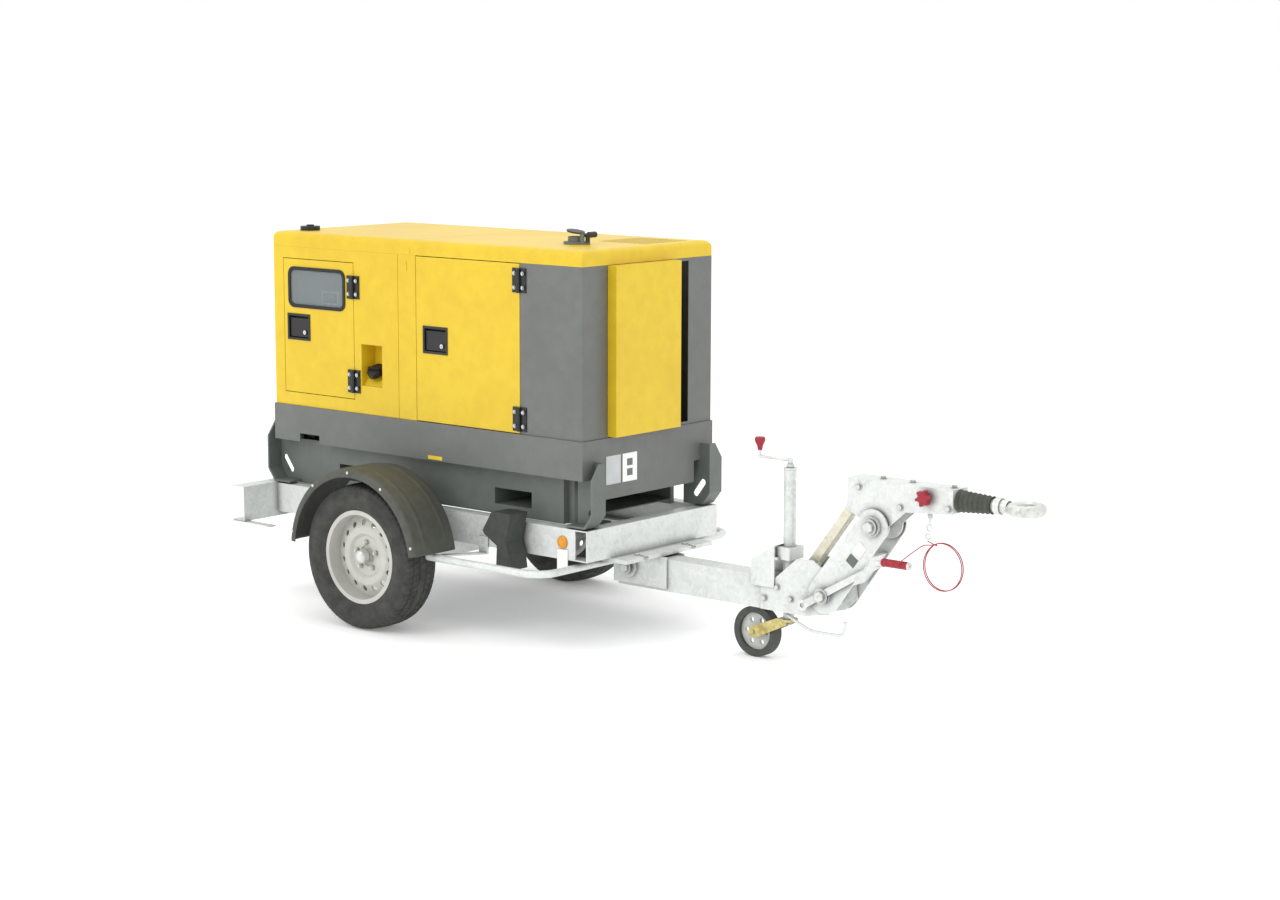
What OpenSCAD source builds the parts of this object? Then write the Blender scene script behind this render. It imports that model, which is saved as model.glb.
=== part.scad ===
// Towable diesel generator: a silenced generator set on a single-axle road undercarriage.
// Units are millimetres. +X points to the towing eye, +Y to the left side, +Z up, the ground is z = 0.
// The origin is midway between the rear tip of the undercarriage and the tip of the towing eye.

/* [Canopy] */
// Length of the canopy box
canopy_l = 1740; // [1600:10:2100]
// Width of the canopy box
canopy_w = 800; // [760:10:960]
// Height of the seam between base frame and canopy above the ground
seam_z = 830; // [815:5:900]
// Height of the canopy sides above the seam
side_h = 675; // [600:5:820]
// Height of the roof pan above the door-top line
roof_h = 62; // [50:2:90]
// Radius of the roof pan's edges
roof_r = 28; // [12:2:40]
// Thickness of the canopy sheet
sheet = 3; // [2:0.5:4]
// Length of the grey corner panel along each side
corner_l = 322; // [240:2:400]
// Width of the service door
service_w = 567; // [420:1:640]
// Width of the control door
control_w = 420; // [360:1:460]
// Height of the control door
control_h = 566; // [480:1:600]
// Depth of a door pan
door_t = 25; // [18:1:32]
// Gap around a door
door_gap = 3; // [2:0.5:6]
// Width of the window in the control door
window_w = 345; // [260:1:350]
// Height of the window in the control door
window_h = 173; // [120:1:200]
// Corner radius of the window
window_r = 34; // [20:1:50]
// How far the baffle box stands proud of the front panel
baffle_d = 45; // [20:1:60]
// Width of the baffle box
baffle_w = 400; // [300:10:480]

/* [Base frame] */
// Depth of the skirt below the seam
skirt_h = 154; // [120:2:180]
// Depth of the end beams below the seam
beam_h = 242; // [200:2:250]
// How far the skirt stands proud of the canopy
base_proud = 6; // [3:1:12]
// Thickness of the base frame and bracket plates
plate = 5; // [4:1:8]
// Width of a fork pocket's opening
pocket_w = 200; // [160:5:240]
// Height of a fork pocket's opening
pocket_h = 65; // [55:1:80]

/* [Undercarriage] */
// Height of the chassis rails' top face
rail_top = 483; // [460:1:500]
// Depth of a chassis rail
rail_h = 124; // [100:2:140]
// Half the distance over the rails' outer faces
rail_y = 408; // [390:2:440]
// Width of a rail's flange
flange = 60; // [50:1:80]
// Thickness of the galvanised sections
wall = 5; // [4:0.5:8]
// Half the length of the rear channel
rear_y = 600; // [520:5:680]
// Depth of the rear channel, front to back
rear_flange = 70; // [50:5:90]
// Length of a suspension arm from pivot to wheel centre
arm_l = 150; // [130:5:180]

/* [Wheels] */
// Outer diameter of the road tyres
tyre_d = 596; // [580:2:620]
// Width of the road tyres
tyre_w = 186; // [165:1:205]
// Radius over the rim's flanges
rim_r = 195.5; // [185:0.5:205]
// Distance from the centre line to the middle of a road tyre
track_y = 615; // [605:5:660]
// Number of vent holes in a rim
vents = 15; // [8:1:20]
// Outer radius of a mudguard
guard_r = 370; // [345:5:380]
// Width of a mudguard
guard_w = 230; // [215:5:250]

/* [Drawbar] */
// Width of the drawbar's box section
beam_w = 100; // [90:2:110]
// Height of the drawbar's box section
bar_h = 130; // [110:2:140]
// Height of the drawbar's underside
bar_z = 205; // [202:1:215]
// Radius of the height-adjustment pivots
pivot_r = 15; // [12:0.5:18]
// Radial clearance of a running fit
fit = 0.05; // [0.02:0.01:0.1]
// Diameter of the side step bars
step_d = 30; // [26:1:34]

/* [Jockey wheel] */
// Outer diameter of the jockey wheel's tube
jockey_d = 48; // [46:1:54]
// Diameter of the jockey wheel
jockey_wheel_d = 200; // [180:2:202]
// Width of the jockey wheel
jockey_wheel_w = 50; // [40:2:56]
// Distance from the swivel to the wheel's axle
trail = 148; // [136:2:160]
// Length of the crank's arm
crank_l = 146; // [120:2:160]

/* [Coupling] */
// Radius of the towing eye's bore
eye_bore_r = 34; // [30:0.5:38]
// Radius of the towing eye's round section
eye_section_r = 22; // [20:0.5:24]
// Diameter of the overrun shaft
shaft_d = 50; // [46:1:54]
// Diameter of the breakaway cable
cable_d = 4; // [3:0.5:5]

/* [Hidden] */
$fn = 48;

// Colours
yellow = "#f2c81e";
grey = "#75787a";
dark = "#3c3f41";
black = "#1c1d1f";
zinc = "#c9cdcf";
red = "#b0203a";

// The canopy's own places, measured from its middle
half_l = canopy_l / 2;
half_w = canopy_w / 2;
roof_z = seam_z + side_h;
skirt_x = half_l + base_proud;
skirt_y = half_w + base_proud;
skirt_z = seam_z - skirt_h;
deck_z = seam_z - 24;
corner_x = half_l - corner_l;
service_x = corner_x - door_gap - service_w;
service_z = seam_z + door_gap;
service_h = side_h - 2 * door_gap;
control_x = -half_l + 62;
control_z = seam_z + 58;
pillar_x = service_x - door_gap;
window_x = control_x + 28;
window_z = control_z + control_h - 32 - window_h;
filler_x = control_x + control_w + 44;
filler_w = 122;
filler_z = seam_z + 118;
filler_h = 173;
cap_at = [filler_x + filler_w / 2 - 4, -half_w + 34, filler_z + 52];
exhaust_at = [600, -130];
coolant_at = [-half_l + 100, -280];

// Undercarriage places
rail_z = rail_top - rail_h;
front_x = 901;
rail_x0 = -865;
rail_x1 = front_x - flange - 1;
rear_x = rail_x0 - rear_flange - wall;
axle_x = -80;
tyre_r = tyre_d / 2;
arm_pivot = [axle_x + arm_l, rail_z - 40];
track_arm_y = 480;
bar_top = bar_z + bar_h;
bar_x1 = 1540;
cheek_t = 8;
cheek_y = beam_w / 2;

// Height-adjustable towbar: the link and the strut are the equal sides of a parallelogram
link_rear = [1784, 299];
link_front = [1999, 589];
strut_low = [1683, 390];
strut_top = strut_low + (link_front - link_rear);
link_l = norm(link_front - link_rear);
link_a = atan2(link_front[1] - link_rear[1], link_front[0] - link_rear[0]);
link_y = cheek_y + cheek_t + 1;
link_t = 8;
head_x1 = 2335;
shaft_z = 715;
eye_x = 2612;
eye_ring_r = eye_bore_r + eye_section_r - 5;
eye_tip = eye_x + eye_ring_r + eye_section_r;

// Jockey wheel places
jockey_x = bar_x1 + 9 + jockey_d / 2;
jockey_top = 751;
tube_wall = 3;
leg_r = jockey_d / 2 - tube_wall - fit;
fork_z = 160;
jockey_wheel_r = jockey_wheel_d / 2;

// Everything is drawn from the canopy's middle and moved by centre_x onto the origin
centre_x = (-rear_x - eye_tip) / 2;

// The breakaway cable: from the handbrake lever, over to two hanging turns, and up to its hook
cable_lead = [[2142, -113, 472], [2160, -113, 487], [2180, -111, 504], [2202, -92, 526], [2222, -63, 546]];
cable_tail = [[2262, -36, 546], [2236, -30, 551], [2214, -24, 556]];
turn_centre = [2300, 474];
turn_rx = 84;
turn_rz = 88;
turn_y0 = -60;
turn_pitch = 10;
turn_steps = 30;
turn_start = 118;
turn_count = 2;
hook_at = [2222, -22];

function turn_point(i) =
    let (a = turn_start - i * 360 / turn_steps)
    [turn_centre[0] + turn_rx * cos(a), turn_y0 + turn_pitch * i / turn_steps,
     turn_centre[1] + turn_rz * sin(a)];
cable_path = concat(cable_lead, [for (i = [0 : turn_steps * turn_count]) turn_point(i)], cable_tail);

function unit(v) = v / norm(v);
function heading(p, i) = unit(p[min(i + 1, len(p) - 1)] - p[max(i - 1, 0)]);
function ring(c, t, r, n) =
    let (side = unit(cross(t, abs(t[1]) < 0.9 ? [0, 1, 0] : [0, 0, 1])), up = cross(side, t))
    [for (k = [0 : n - 1]) c + r * (cos(360 * k / n) * side + sin(360 * k / n) * up)];

// ---- Shared shapes ----

module placed() {
    translate([centre_x, 0, 0]) children();
}

// A block between two limits on each axis
module span(x, y, z) {
    translate([x[0], y[0], z[0]]) cube([x[1] - x[0], y[1] - y[0], z[1] - z[0]]);
}

// A round bar along Y between y0 and y1
module across(at, y0, y1, r) {
    translate([at[0], y0, at[1]]) rotate([-90, 0, 0]) cylinder(h = y1 - y0, r = r);
}

// A round bar along X between x0 and x1
module along(x0, x1, y, z, r) {
    translate([x0, y, z]) rotate([0, 90, 0]) cylinder(h = x1 - x0, r = r);
}

// A round bar between two points
module rod(p, q, r) {
    v = q - p;
    translate(p) rotate([0, acos(v[2] / norm(v)), atan2(v[1], v[0])]) cylinder(h = norm(v), r = r);
}

// A side view, drawn in X and Z, made t thick from y
module side_plate(y, t) {
    translate([0, y + t, 0]) rotate([90, 0, 0]) linear_extrude(t) children();
}

module both_sides() {
    children();
    mirror([0, 1, 0]) children();
}

module both_ends() {
    children();
    mirror([1, 0, 0]) children();
}

module rounded_rect(w, h, r) {
    translate([r, 0]) square([w - 2 * r, h]);
    translate([0, r]) square([w, h - 2 * r]);
    for (x = [r, w - r], z = [r, h - r]) translate([x, z]) circle(r);
}

// A C-section along Y, open to the rear
module channel_y(x0, x1, half, z0, z1) {
    difference() {
        span([x0, x1], [-half, half], [z0, z1]);
        span([x0 - 1, x1 - wall], [-half - 1, half + 1], [z0 + wall, z1 - wall]);
    }
}

module tube_between(p, q, r, t) {
    difference() {
        rod(p, q, r);
        rod(p, q, r - t);
    }
}

// ---- Undercarriage ----

module chassis_rails() {
    color(zinc) placed() both_sides() difference() {
        span([rail_x0, rail_x1], [-rail_y, -rail_y + flange], [rail_z, rail_top]);
        span([rail_x0 - 1, rail_x1 + 1], [-rail_y + wall, -rail_y + flange + 1],
            [rail_z + wall, rail_top - wall]);
    }
}

module cross_members() {
    color(zinc) placed() {
        channel_y(rail_x0 - rear_flange - wall, rail_x0, rear_y, rail_z - 20, rail_top + 5);
        channel_y(rail_x1, front_x, rail_y, rail_z, rail_top);
        span([280, 340], [-rail_y + flange + 0.3, rail_y - flange - 0.3], [rail_z, rail_top - 20]);
        // Flat bars that carry the mudguards' rear ends
        both_sides() span([rail_x0 - rear_flange, -705], [-rear_y - 6, -rear_y + 34],
            [rail_z - 26, rail_z - 20.3]);
    }
}

module axle_tube() {
    half = 40;
    color(zinc) placed() difference() {
        union() {
            span([arm_pivot[0] - half, arm_pivot[0] + half], [-track_arm_y, track_arm_y],
                [arm_pivot[1] - half, arm_pivot[1] + half]);
            both_sides() span([arm_pivot[0] - 70, arm_pivot[0] + 70], [-rail_y, -rail_y + flange],
                [rail_z - 8, rail_z]);
        }
        both_sides() across(arm_pivot, -track_arm_y - 1, -track_arm_y + 60, 25 + fit);
    }
}

// Trailing arm with its torsion stub, wheel spindle and brake back plate
module swing_arm() {
    y = -track_arm_y - 6;
    across(arm_pivot, y, -track_arm_y + 55, 25);
    across(arm_pivot, y - 22, y, 38);
    across([axle_x, tyre_r], y - 22, y, 34);
    side_plate(y - 22, 22) polygon([arm_pivot + [0, 34], arm_pivot - [0, 34],
        [axle_x, tyre_r - 30], [axle_x, tyre_r + 30]]);
    across([axle_x, tyre_r], y - 30, y - 22, 112);
    across([axle_x, tyre_r], -track_y - 20, y - 22, 19);
}

module arm_right() {
    color(dark) placed() swing_arm();
}

module arm_left() {
    color(dark) placed() mirror([0, 1, 0]) swing_arm();
}

// The wheel's shapes turn about Z with +Z outboard, and are then laid on the axle
module on_axle() {
    translate([axle_x, -track_y, tyre_r]) rotate([90, 0, 0]) children();
}

module tyre() {
    half = tyre_w / 2;
    bead = rim_r - 12;
    rotate_extrude() difference() {
        union() {
            translate([bead, -half + 20]) square([tyre_r - bead - 8, tyre_w - 40]);
            translate([bead + 24, -half]) square([tyre_r - bead - 56, tyre_w]);
            translate([tyre_r - 20, -half + 24]) square([20, tyre_w - 48]);
            for (s = [-1, 1]) {
                translate([tyre_r - 32, s * (half - 32)]) circle(32);
                translate([bead + 24, s * (half - 24)]) circle(24);
            }
        }
        translate([bead - 30, -half + 14]) square([tyre_r - bead + 12, tyre_w - 28]);
        for (s = [-1, 1]) translate([bead - 30, s < 0 ? -half - 1 : 70]) square([42.3, half - 69]);
    }
}

module rim() {
    barrel = rim_r - 18;
    half = 70;
    difference() {
        union() {
            rotate_extrude() {
                translate([barrel - 4, -half]) square([4, 2 * half]);
                for (s = [-1, 1]) {
                    translate([barrel - 4, s > 0 ? half - 4 : -half]) square([rim_r - barrel + 2, 4]);
                    translate([rim_r - 4, s > 0 ? half - 8 : -half]) square([4, 8]);
                }
                polygon([[42, 22], [80, 22], [92, 34], [118, 34], [150, 18], [barrel - 2, 8],
                    [barrel - 2, 2], [150, 12], [116, 28], [94, 28], [82, 16], [42, 16]]);
            }
            translate([0, 0, -80]) cylinder(h = 96, r = 60);
            translate([0, 0, -92]) cylinder(h = 84, r = 104);
            translate([0, 0, 16]) cylinder(h = 26, r = 30);
        }
        for (k = [0 : vents - 1]) rotate(k * 360 / vents) translate([137, 0, -1]) cylinder(h = 50, r = 12);
        translate([0, 0, -93]) cylinder(h = 113, r = 19 + fit);
    }
    for (k = [0 : 4]) rotate(k * 72 + 18) translate([56, 0, 22]) cylinder(h = 14, r = 10, $fn = 6);
}

module tyre_right() {
    color(black) placed() on_axle() tyre();
}

module tyre_left() {
    color(black) placed() mirror([0, 1, 0]) on_axle() tyre();
}

module rim_right() {
    color("#dedfda") placed() on_axle() rim();
}

module rim_left() {
    color("#dedfda") placed() mirror([0, 1, 0]) on_axle() rim();
}

// A curved mudguard with a turned-down outer lip and a stay back to the rail
module mudguard() {
    t = 4;
    y0 = -track_y - guard_w / 2 + 4;
    y1 = y0 + guard_w;
    translate([axle_x, 0, tyre_r]) rotate([90, 0, 0]) {
        translate([0, 0, -y1]) rotate(8) rotate_extrude(angle = 167) translate([guard_r - t, 0])
            square([t, guard_w]);
        translate([0, 0, -y0 - t]) rotate(8) rotate_extrude(angle = 167) translate([guard_r - 40, 0])
            square([40, t]);
    }
    for (x = [axle_x - 90, axle_x + 90]) {
        z = tyre_r + sqrt(guard_r * guard_r - 90 * 90) - t;
        span([x - 20, x + 20], [y1 - 0.5, y1 + 3.5], [rail_top - 60, z]);
        span([x - 20, x + 20], [y1 - 0.5, -rail_y - 0.3], [rail_top - 60, rail_top - 56]);
    }
}

module mudguard_right() {
    color(dark) placed() mudguard();
}

module mudguard_left() {
    color(dark) placed() mirror([0, 1, 0]) mudguard();
}

// Side reflectors, white front markers and the tail lamps inside the rear channel
module road_lamps() {
    color("#c8401c") placed() both_sides() {
        across([775, rail_top - 56], -rail_y - 7, -rail_y - 0.2, 24);
        span([745, 805], [-rail_y - 4, -rail_y - 0.2], [rail_z - 46, rail_z + 40]);
        span([rail_x0 - rear_flange, rail_x0 - wall - 0.2], [-505, -365],
            [rail_z - 20 + wall + 6, rail_top - 6]);
    }
}

module step_bar() {
    r = step_d / 2;
    bend = 90;
    y = -600;
    z = bar_top + 8 - r;
    along(228, 830 - bend, y, z, r);
    translate([830 - bend, y + bend, z]) rotate(-90) rotate_extrude(angle = 90) translate([bend, 0])
        circle(r);
    translate([830, 0, z]) rotate([90, 0, 0]) translate([0, 0, 150]) cylinder(h = -y - bend - 150, r = r);
    translate([0, 0, z]) linear_extrude(6) polygon([[228, y], [262, y], [380, -rail_y - 0.3],
        [330, -rail_y - 0.3]]);
    span([330, 380], [-rail_y - 5.3, -rail_y - 0.3], [z, rail_z + 40]);
    span([505, 585], [-rail_y - 116, -rail_y - 0.3], [rail_z - 58, rail_z - 53]);
    span([525, 565], [-rail_y - 5.3, -rail_y - 0.3], [rail_z - 58, rail_z + 20]);
}

module step_bars() {
    color(zinc) placed() both_sides() step_bar();
}

// A folded wheel chock: two plates that meet at a nose, standing on its shelf
module wheel_chock() {
    color(black) placed() translate([0, 0, rail_z - 53]) side_plate(-rail_y - 112, 100) polygon([[524, 0],
        [600, 0], [592, 62], [574, 112], [602, 224], [540, 226], [500, 224], [452, 146], [460, 132], [528, 92]]);
}

module drawbar_beam() {
    outline = [[bar_x1 - 60, bar_z], [1690, bar_z], [1800, bar_z + 20], [1856, bar_z + 70],
        [1850, 350], [1720, 425], [1650, 420], [bar_x1 + 10, bar_top], [bar_x1 - 60, bar_top]];
    color(zinc) placed() {
        difference() {
            span([760, bar_x1], [-cheek_y, cheek_y], [bar_z, bar_top]);
            span([759, bar_x1 + 1], [-cheek_y + 6, cheek_y - 6], [bar_z + 6, bar_top - 6]);
        }
        both_sides() difference() {
            side_plate(-cheek_y - cheek_t, cheek_t) polygon(outline);
            across(link_rear, -cheek_y - 20, -cheek_y + 1, pivot_r + fit);
        }
        across(link_rear, -link_y - link_t - 10, link_y + link_t + 10, pivot_r);
        both_sides() across(link_rear, -link_y - link_t - 12, -link_y - link_t - 1, 30);
        across(strut_low, -cheek_y, cheek_y, 10);
        // Saddle and clamp that hold the jockey wheel's tube
        difference() {
            side_plate(-cheek_y - 14, 2 * cheek_y + 28) polygon([[1436, bar_top - 40], [1436, bar_top + 60],
                [1470, bar_top + 78], [bar_x1 + 8, bar_top + 125], [bar_x1 + 8, bar_top - 40]]);
            side_plate(-cheek_y - 9, 2 * cheek_y + 18) polygon([[1430, bar_top - 60], [1430, bar_top + 52],
                [1470, bar_top + 72], [bar_x1 + 14, bar_top + 122], [bar_x1 + 14, bar_top - 60]]);
        }
        difference() {
            span([bar_x1 + 3, jockey_x + 34], [-cheek_y + 4, cheek_y - 4], [bar_top + 70, bar_top + 118]);
            translate([jockey_x, 0, 0]) cylinder(h = 900, r = jockey_d / 2 + fit);
        }
        both_sides() span([1480, bar_x1 + 20], [-cheek_y - 13, -cheek_y + 6], [bar_top + 70, bar_top + 80]);
    }
}

module drawbar_clamp() {
    y = cheek_y + 0.3;
    top = bar_top + 8;
    color(zinc) placed() {
        both_sides() {
            span([740, 1014], [-y - 8, -y], [bar_z + 11, top]);
            across([823, bar_z + 79], -y - 20, -y - 8, 42);
            across([823, bar_z + 79], -y - 34, -y - 20, 16);
            for (x = [895, 940]) translate([x, -200, top - 12]) cylinder(h = 12, r = 9, $fn = 6);
        }
        span([800, 985], [-270, 270], [top, rail_z - 0.3]);
    }
}

// ---- Base frame and skid ----

module base_frame() {
    color(grey) placed() difference() {
        union() {
            difference() {
                span([-skirt_x, skirt_x], [-skirt_y, skirt_y], [skirt_z, seam_z]);
                span([-skirt_x + plate, skirt_x - plate], [-skirt_y + plate, skirt_y - plate],
                    [skirt_z - 1, seam_z + 1]);
            }
            span([-skirt_x + 1, skirt_x - 1], [-skirt_y + 1, skirt_y - 1], [deck_z, deck_z + plate]);
            both_ends() span([skirt_x - 50, skirt_x], [-286, 286], [seam_z - beam_h, deck_z + 1]);
        }
        both_sides() span([-720, -600], [-skirt_y - 1, -skirt_y + plate + 1], [skirt_z - 1, skirt_z + 36]);
    }
}

// One corner bracket: a slotted plate and a flange turned outwards round its edge
module corner_bracket() {
    y = -334;
    x1 = skirt_x + 50;
    z0 = rail_top + 6;
    z1 = seam_z - 85;
    z2 = z0 + 52;
    foot = [x1 - 40, z0];
    difference() {
        side_plate(y, 8) polygon([[x1 - 136, z0], foot, [x1, z2], [x1, z1], [skirt_x + 0.3, z1],
            [skirt_x + 0.3, skirt_z - 0.3], [x1 - 136, skirt_z - 0.3]]);
        translate([skirt_x - 3, y - 1, z0 + 70]) rotate([-90, 0, 0]) rotate(-53) {
            translate([-30, -14, 0]) cube([60, 28, 12]);
            for (s = [-30, 30]) translate([s, 0, 0]) cylinder(h = 12, r = 14);
        }
    }
    side_plate(-skirt_y, skirt_y + y) polygon([[x1 - 136, z0], foot, [x1, z2], [x1 - 8, z2 + 3],
        [x1 - 44, z0 + 8], [x1 - 136, z0 + 8]]);
    translate([x1 - 8, 0, 0]) rotate([90, 0, 90]) linear_extrude(8)
        polygon([[y, z2], [-skirt_y, z2], [-skirt_y, z1 - 62], [-skirt_y + 44, z1], [y, z1]]);
}

module skid_frame() {
    y0 = 338;
    y1 = 288;
    color(dark) placed() {
        difference() {
            union() {
                both_sides() span([-800, 720], [-y0, -y1], [rail_top, skirt_z - 1]);
                for (x = [-800, -45, 560]) span([x, x + 40], [-y1 - 1, y1 + 1], [rail_top + 60, deck_z - 0.3]);
                both_sides() span([719, 752], [-y1 - 22, -y1], [rail_top, skirt_z - 1]);
                span([-800, 752], [-y1 - 1, y1 + 1], [rail_top + 18, rail_top + 22]);
                both_ends() span([350 - wall, 350 + pocket_w + wall], [-y0 + 1, y0 - 1],
                    [rail_top + 36, rail_top + 36 + pocket_h + 2 * wall]);
            }
            both_ends() span([350, 350 + pocket_w], [-y0 - 1, y0 + 1],
                [rail_top + 36 + wall, rail_top + 36 + wall + pocket_h]);
            both_sides() for (x = [[-780, -580], [-330, -60], [10, 130], [590, 700]])
                span(x, [-y1 - 38, -y1 + 1], [rail_top + 12, skirt_z - 14]);
        }
    }
    color(grey) placed() both_sides() both_ends() corner_bracket();
}

// ---- Canopy ----

module canopy_shell() {
    seam_x = pillar_x - 101;
    color(yellow) placed() {
        difference() {
            union() {
                difference() {
                    span([-half_l, pillar_x], [-half_w, half_w], [seam_z + 0.3, roof_z]);
                    span([-half_l + sheet, pillar_x + 1], [-half_w + sheet, half_w - sheet],
                        [seam_z - 1, roof_z + 1]);
                    span([control_x - door_gap, control_x + control_w + door_gap],
                        [-half_w - 1, -half_w + sheet + 1],
                        [control_z - door_gap, control_z + control_h + door_gap]);
                    span([filler_x, filler_x + filler_w], [-half_w - 1, -half_w + sheet + 1],
                        [filler_z, filler_z + filler_h]);
                }
                // Posts behind the door edges
                both_sides() {
                    span([pillar_x - 40, pillar_x], [-half_w, -half_w + 34], [seam_z + 0.3, roof_z]);
                    for (z = [seam_z + 0.3, roof_z - 34]) span([pillar_x - 1, corner_x],
                        [-half_w + door_t + 3, -half_w + door_t + 33], [z, z + 33.7]);
                }
            }
            // Seam groove and slot of the lifting pillar
            both_sides() {
                span([seam_x - 1.5, seam_x + 1.5], [-half_w - 1, -half_w + 2], [seam_z, roof_z + 1]);
                span([pillar_x - 52, pillar_x - 44], [-half_w - 1, -half_w + 2], [roof_z - 66, roof_z - 28]);
            }
        }
        // Sloped filler tray
        difference() {
            span([filler_x - 3, filler_x + filler_w + 3], [-half_w + 0.5, -half_w + 84],
                [filler_z - 3, filler_z + filler_h + 3]);
            translate([filler_x, 0, 0]) rotate([90, 0, 90]) linear_extrude(filler_w)
                polygon([[-half_w - 1, filler_z], [-half_w + 12, filler_z], [-half_w + 80, filler_z + 90],
                    [-half_w + 80, filler_z + filler_h], [-half_w - 1, filler_z + filler_h]]);
        }
    }
}

// A roof pan: its long and cross sections both have rounded top edges
module roof_block(x, y, z0, h, r) {
    intersection() {
        side_plate(-y, 2 * y) round_top(x, z0, h, r);
        translate([-x, 0, 0]) rotate([90, 0, 90]) linear_extrude(2 * x) round_top(y, z0, h, r);
    }
}

module round_top(half, z0, h, r) {
    translate([-half, z0]) square([2 * half, h - r]);
    translate([-half + r, z0]) square([2 * half - 2 * r, h]);
    for (s = [-1, 1]) translate([s * (half - r), z0 + h - r]) circle(r);
}

module roof() {
    color(yellow) placed() difference() {
        roof_block(half_l, half_w, roof_z + 0.3, roof_h, roof_r);
        roof_block(half_l - sheet, half_w - sheet, roof_z - 1, roof_h - sheet + 1, roof_r - sheet);
        translate([exhaust_at[0], exhaust_at[1], roof_z]) cylinder(h = 100, r = 34);
        translate([coolant_at[0], coolant_at[1], roof_z]) cylinder(h = 100, r = 30);
        span([pillar_x - 21, pillar_x - 18], [-half_w - 1, half_w + 1], [roof_z + roof_h - 1.5, roof_z + 100]);
        both_sides() span([pillar_x - 32, pillar_x - 8], [-half_w - 1, -half_w + sheet / 2],
            [roof_z + 8, roof_z + roof_h - roof_r - 4]);
        for (k = [0 : 9]) span([corner_x + 20 + 26 * k, corner_x + 32 + 26 * k], [40, half_w - 80],
            [roof_z + 10, roof_z + 100]);
    }
}

module front_panel() {
    color(grey) placed() difference() {
        span([corner_x, half_l], [-half_w, half_w], [seam_z + 0.3, roof_z]);
        span([corner_x - 1, half_l - sheet], [-half_w + sheet, half_w - sheet], [seam_z - 1, roof_z + 1]);
        span([half_l - sheet - 1, half_l + 1], [-baffle_w / 2 - 52, baffle_w / 2 + 52],
            [seam_z + 12, roof_z - 12]);
    }
}

module baffle_box() {
    z0 = seam_z + 5;
    z1 = roof_z - 2;
    y0 = -baffle_w / 2 - 50;
    y1 = y0 + baffle_w;
    color(yellow) placed() difference() {
        span([half_l + 0.3, half_l + baffle_d], [y0, y1], [z0, z1]);
        span([half_l - 1, half_l + baffle_d - sheet], [y0 + sheet, y1 - sheet], [z0 + sheet, z1 - sheet]);
    }
}

// ---- Doors, hinges and latches ----

hinge_y = -half_w - 9;
knuckle_r = 8;
pin_r = 4;
leaf_h = 96;
leaf_w = 36;
service_hinge_x = corner_x - door_gap / 2;
control_hinge_x = control_x + control_w + door_gap / 2;
service_hinges = [seam_z + 12, roof_z - 20 - leaf_h];
control_hinges = [control_z + 26, control_z + control_h - 52 - leaf_h];

// The fixed leaf with its two outer knuckles and the pin
module fixed_leaf() {
    difference() {
        span([1.5, leaf_w], [4.5, 8.7], [0, leaf_h]);
        translate([0, 0, leaf_h * 0.34]) cylinder(h = leaf_h * 0.32, r = knuckle_r + 0.3);
    }
    for (z = [0, leaf_h * 0.66]) {
        translate([0, 0, z]) cylinder(h = leaf_h * 0.34, r = knuckle_r);
        span([0, 8], [0, 8.7], [z, z + leaf_h * 0.34]);
    }
    cylinder(h = leaf_h, r = pin_r);
    for (z = [20, leaf_h - 20]) translate([22, 4.5, z]) rotate([90, 0, 0]) cylinder(h = 5, r = 6, $fn = 6);
}

// The moving leaf with the middle knuckle
module door_leaf() {
    z0 = leaf_h * 0.34 + 0.3;
    h = leaf_h * 0.32 - 0.6;
    difference() {
        union() {
            span([-leaf_w, -1.5], [4.5, 8.7], [0, leaf_h]);
            translate([0, 0, z0]) cylinder(h = h, r = knuckle_r);
            span([-8, 0], [0, 8.7], [z0, z0 + h]);
        }
        translate([0, 0, -1]) cylinder(h = leaf_h + 2, r = pin_r + fit);
        for (z = [-1, z0 + h]) translate([0, 0, z]) cylinder(h = z0 + 1, r = knuckle_r + 0.3);
    }
    for (z = [20, leaf_h - 20]) translate([-22, 4.5, z]) rotate([90, 0, 0]) cylinder(h = 5, r = 6, $fn = 6);
}

module frame_hinges() {
    color(black) placed() {
        for (z = control_hinges) translate([control_hinge_x, hinge_y, z]) fixed_leaf();
        both_sides() for (z = service_hinges) translate([service_hinge_x, hinge_y, z]) fixed_leaf();
    }
}

latch_w = 138;
latch_h = 112;
service_latch = [service_x + 38, seam_z + side_h / 2];
control_latch = [control_x + 20, window_z - 82];

// A door pan: an outer skin with return flanges, and the hole for its latch housing
module door_pan(x, z, w, h, latch) {
    difference() {
        span([x, x + w], [-half_w, -half_w + door_t], [z, z + h]);
        span([x + sheet, x + w - sheet], [-half_w + sheet, -half_w + door_t + 1], [z + sheet, z + h - sheet]);
        span([latch[0] + 5, latch[0] + latch_w - 5], [-half_w - 1, -half_w + sheet + 1],
            [latch[1] - latch_h / 2 + 5, latch[1] + latch_h / 2 - 5]);
    }
}

module latch_housing(latch) {
    translate([latch[0], -half_w, latch[1] - latch_h / 2]) difference() {
        union() {
            span([0, latch_w], [-3, -0.2], [0, latch_h]);
            span([5.3, latch_w - 5.3], [-3, 24], [5.3, latch_h - 5.3]);
        }
        span([10, latch_w - 10], [-4, 20], [10, latch_h - 10]);
    }
}

module latch_paddle(latch) {
    translate([latch[0], -half_w, latch[1] - latch_h / 2]) {
        span([14, latch_w - 14], [3, 9], [14, latch_h - 22]);
        translate([14, 6, latch_h - 22]) rotate([0, 90, 0]) cylinder(h = latch_w - 28, r = 5);
        translate([latch_w - 34, 3, 34]) rotate([90, 0, 0]) cylinder(h = 3, r = 9);
    }
}

module service_leaf_set() {
    for (z = service_hinges) translate([service_hinge_x, hinge_y, z]) door_leaf();
    latch_housing(service_latch);
}

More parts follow.
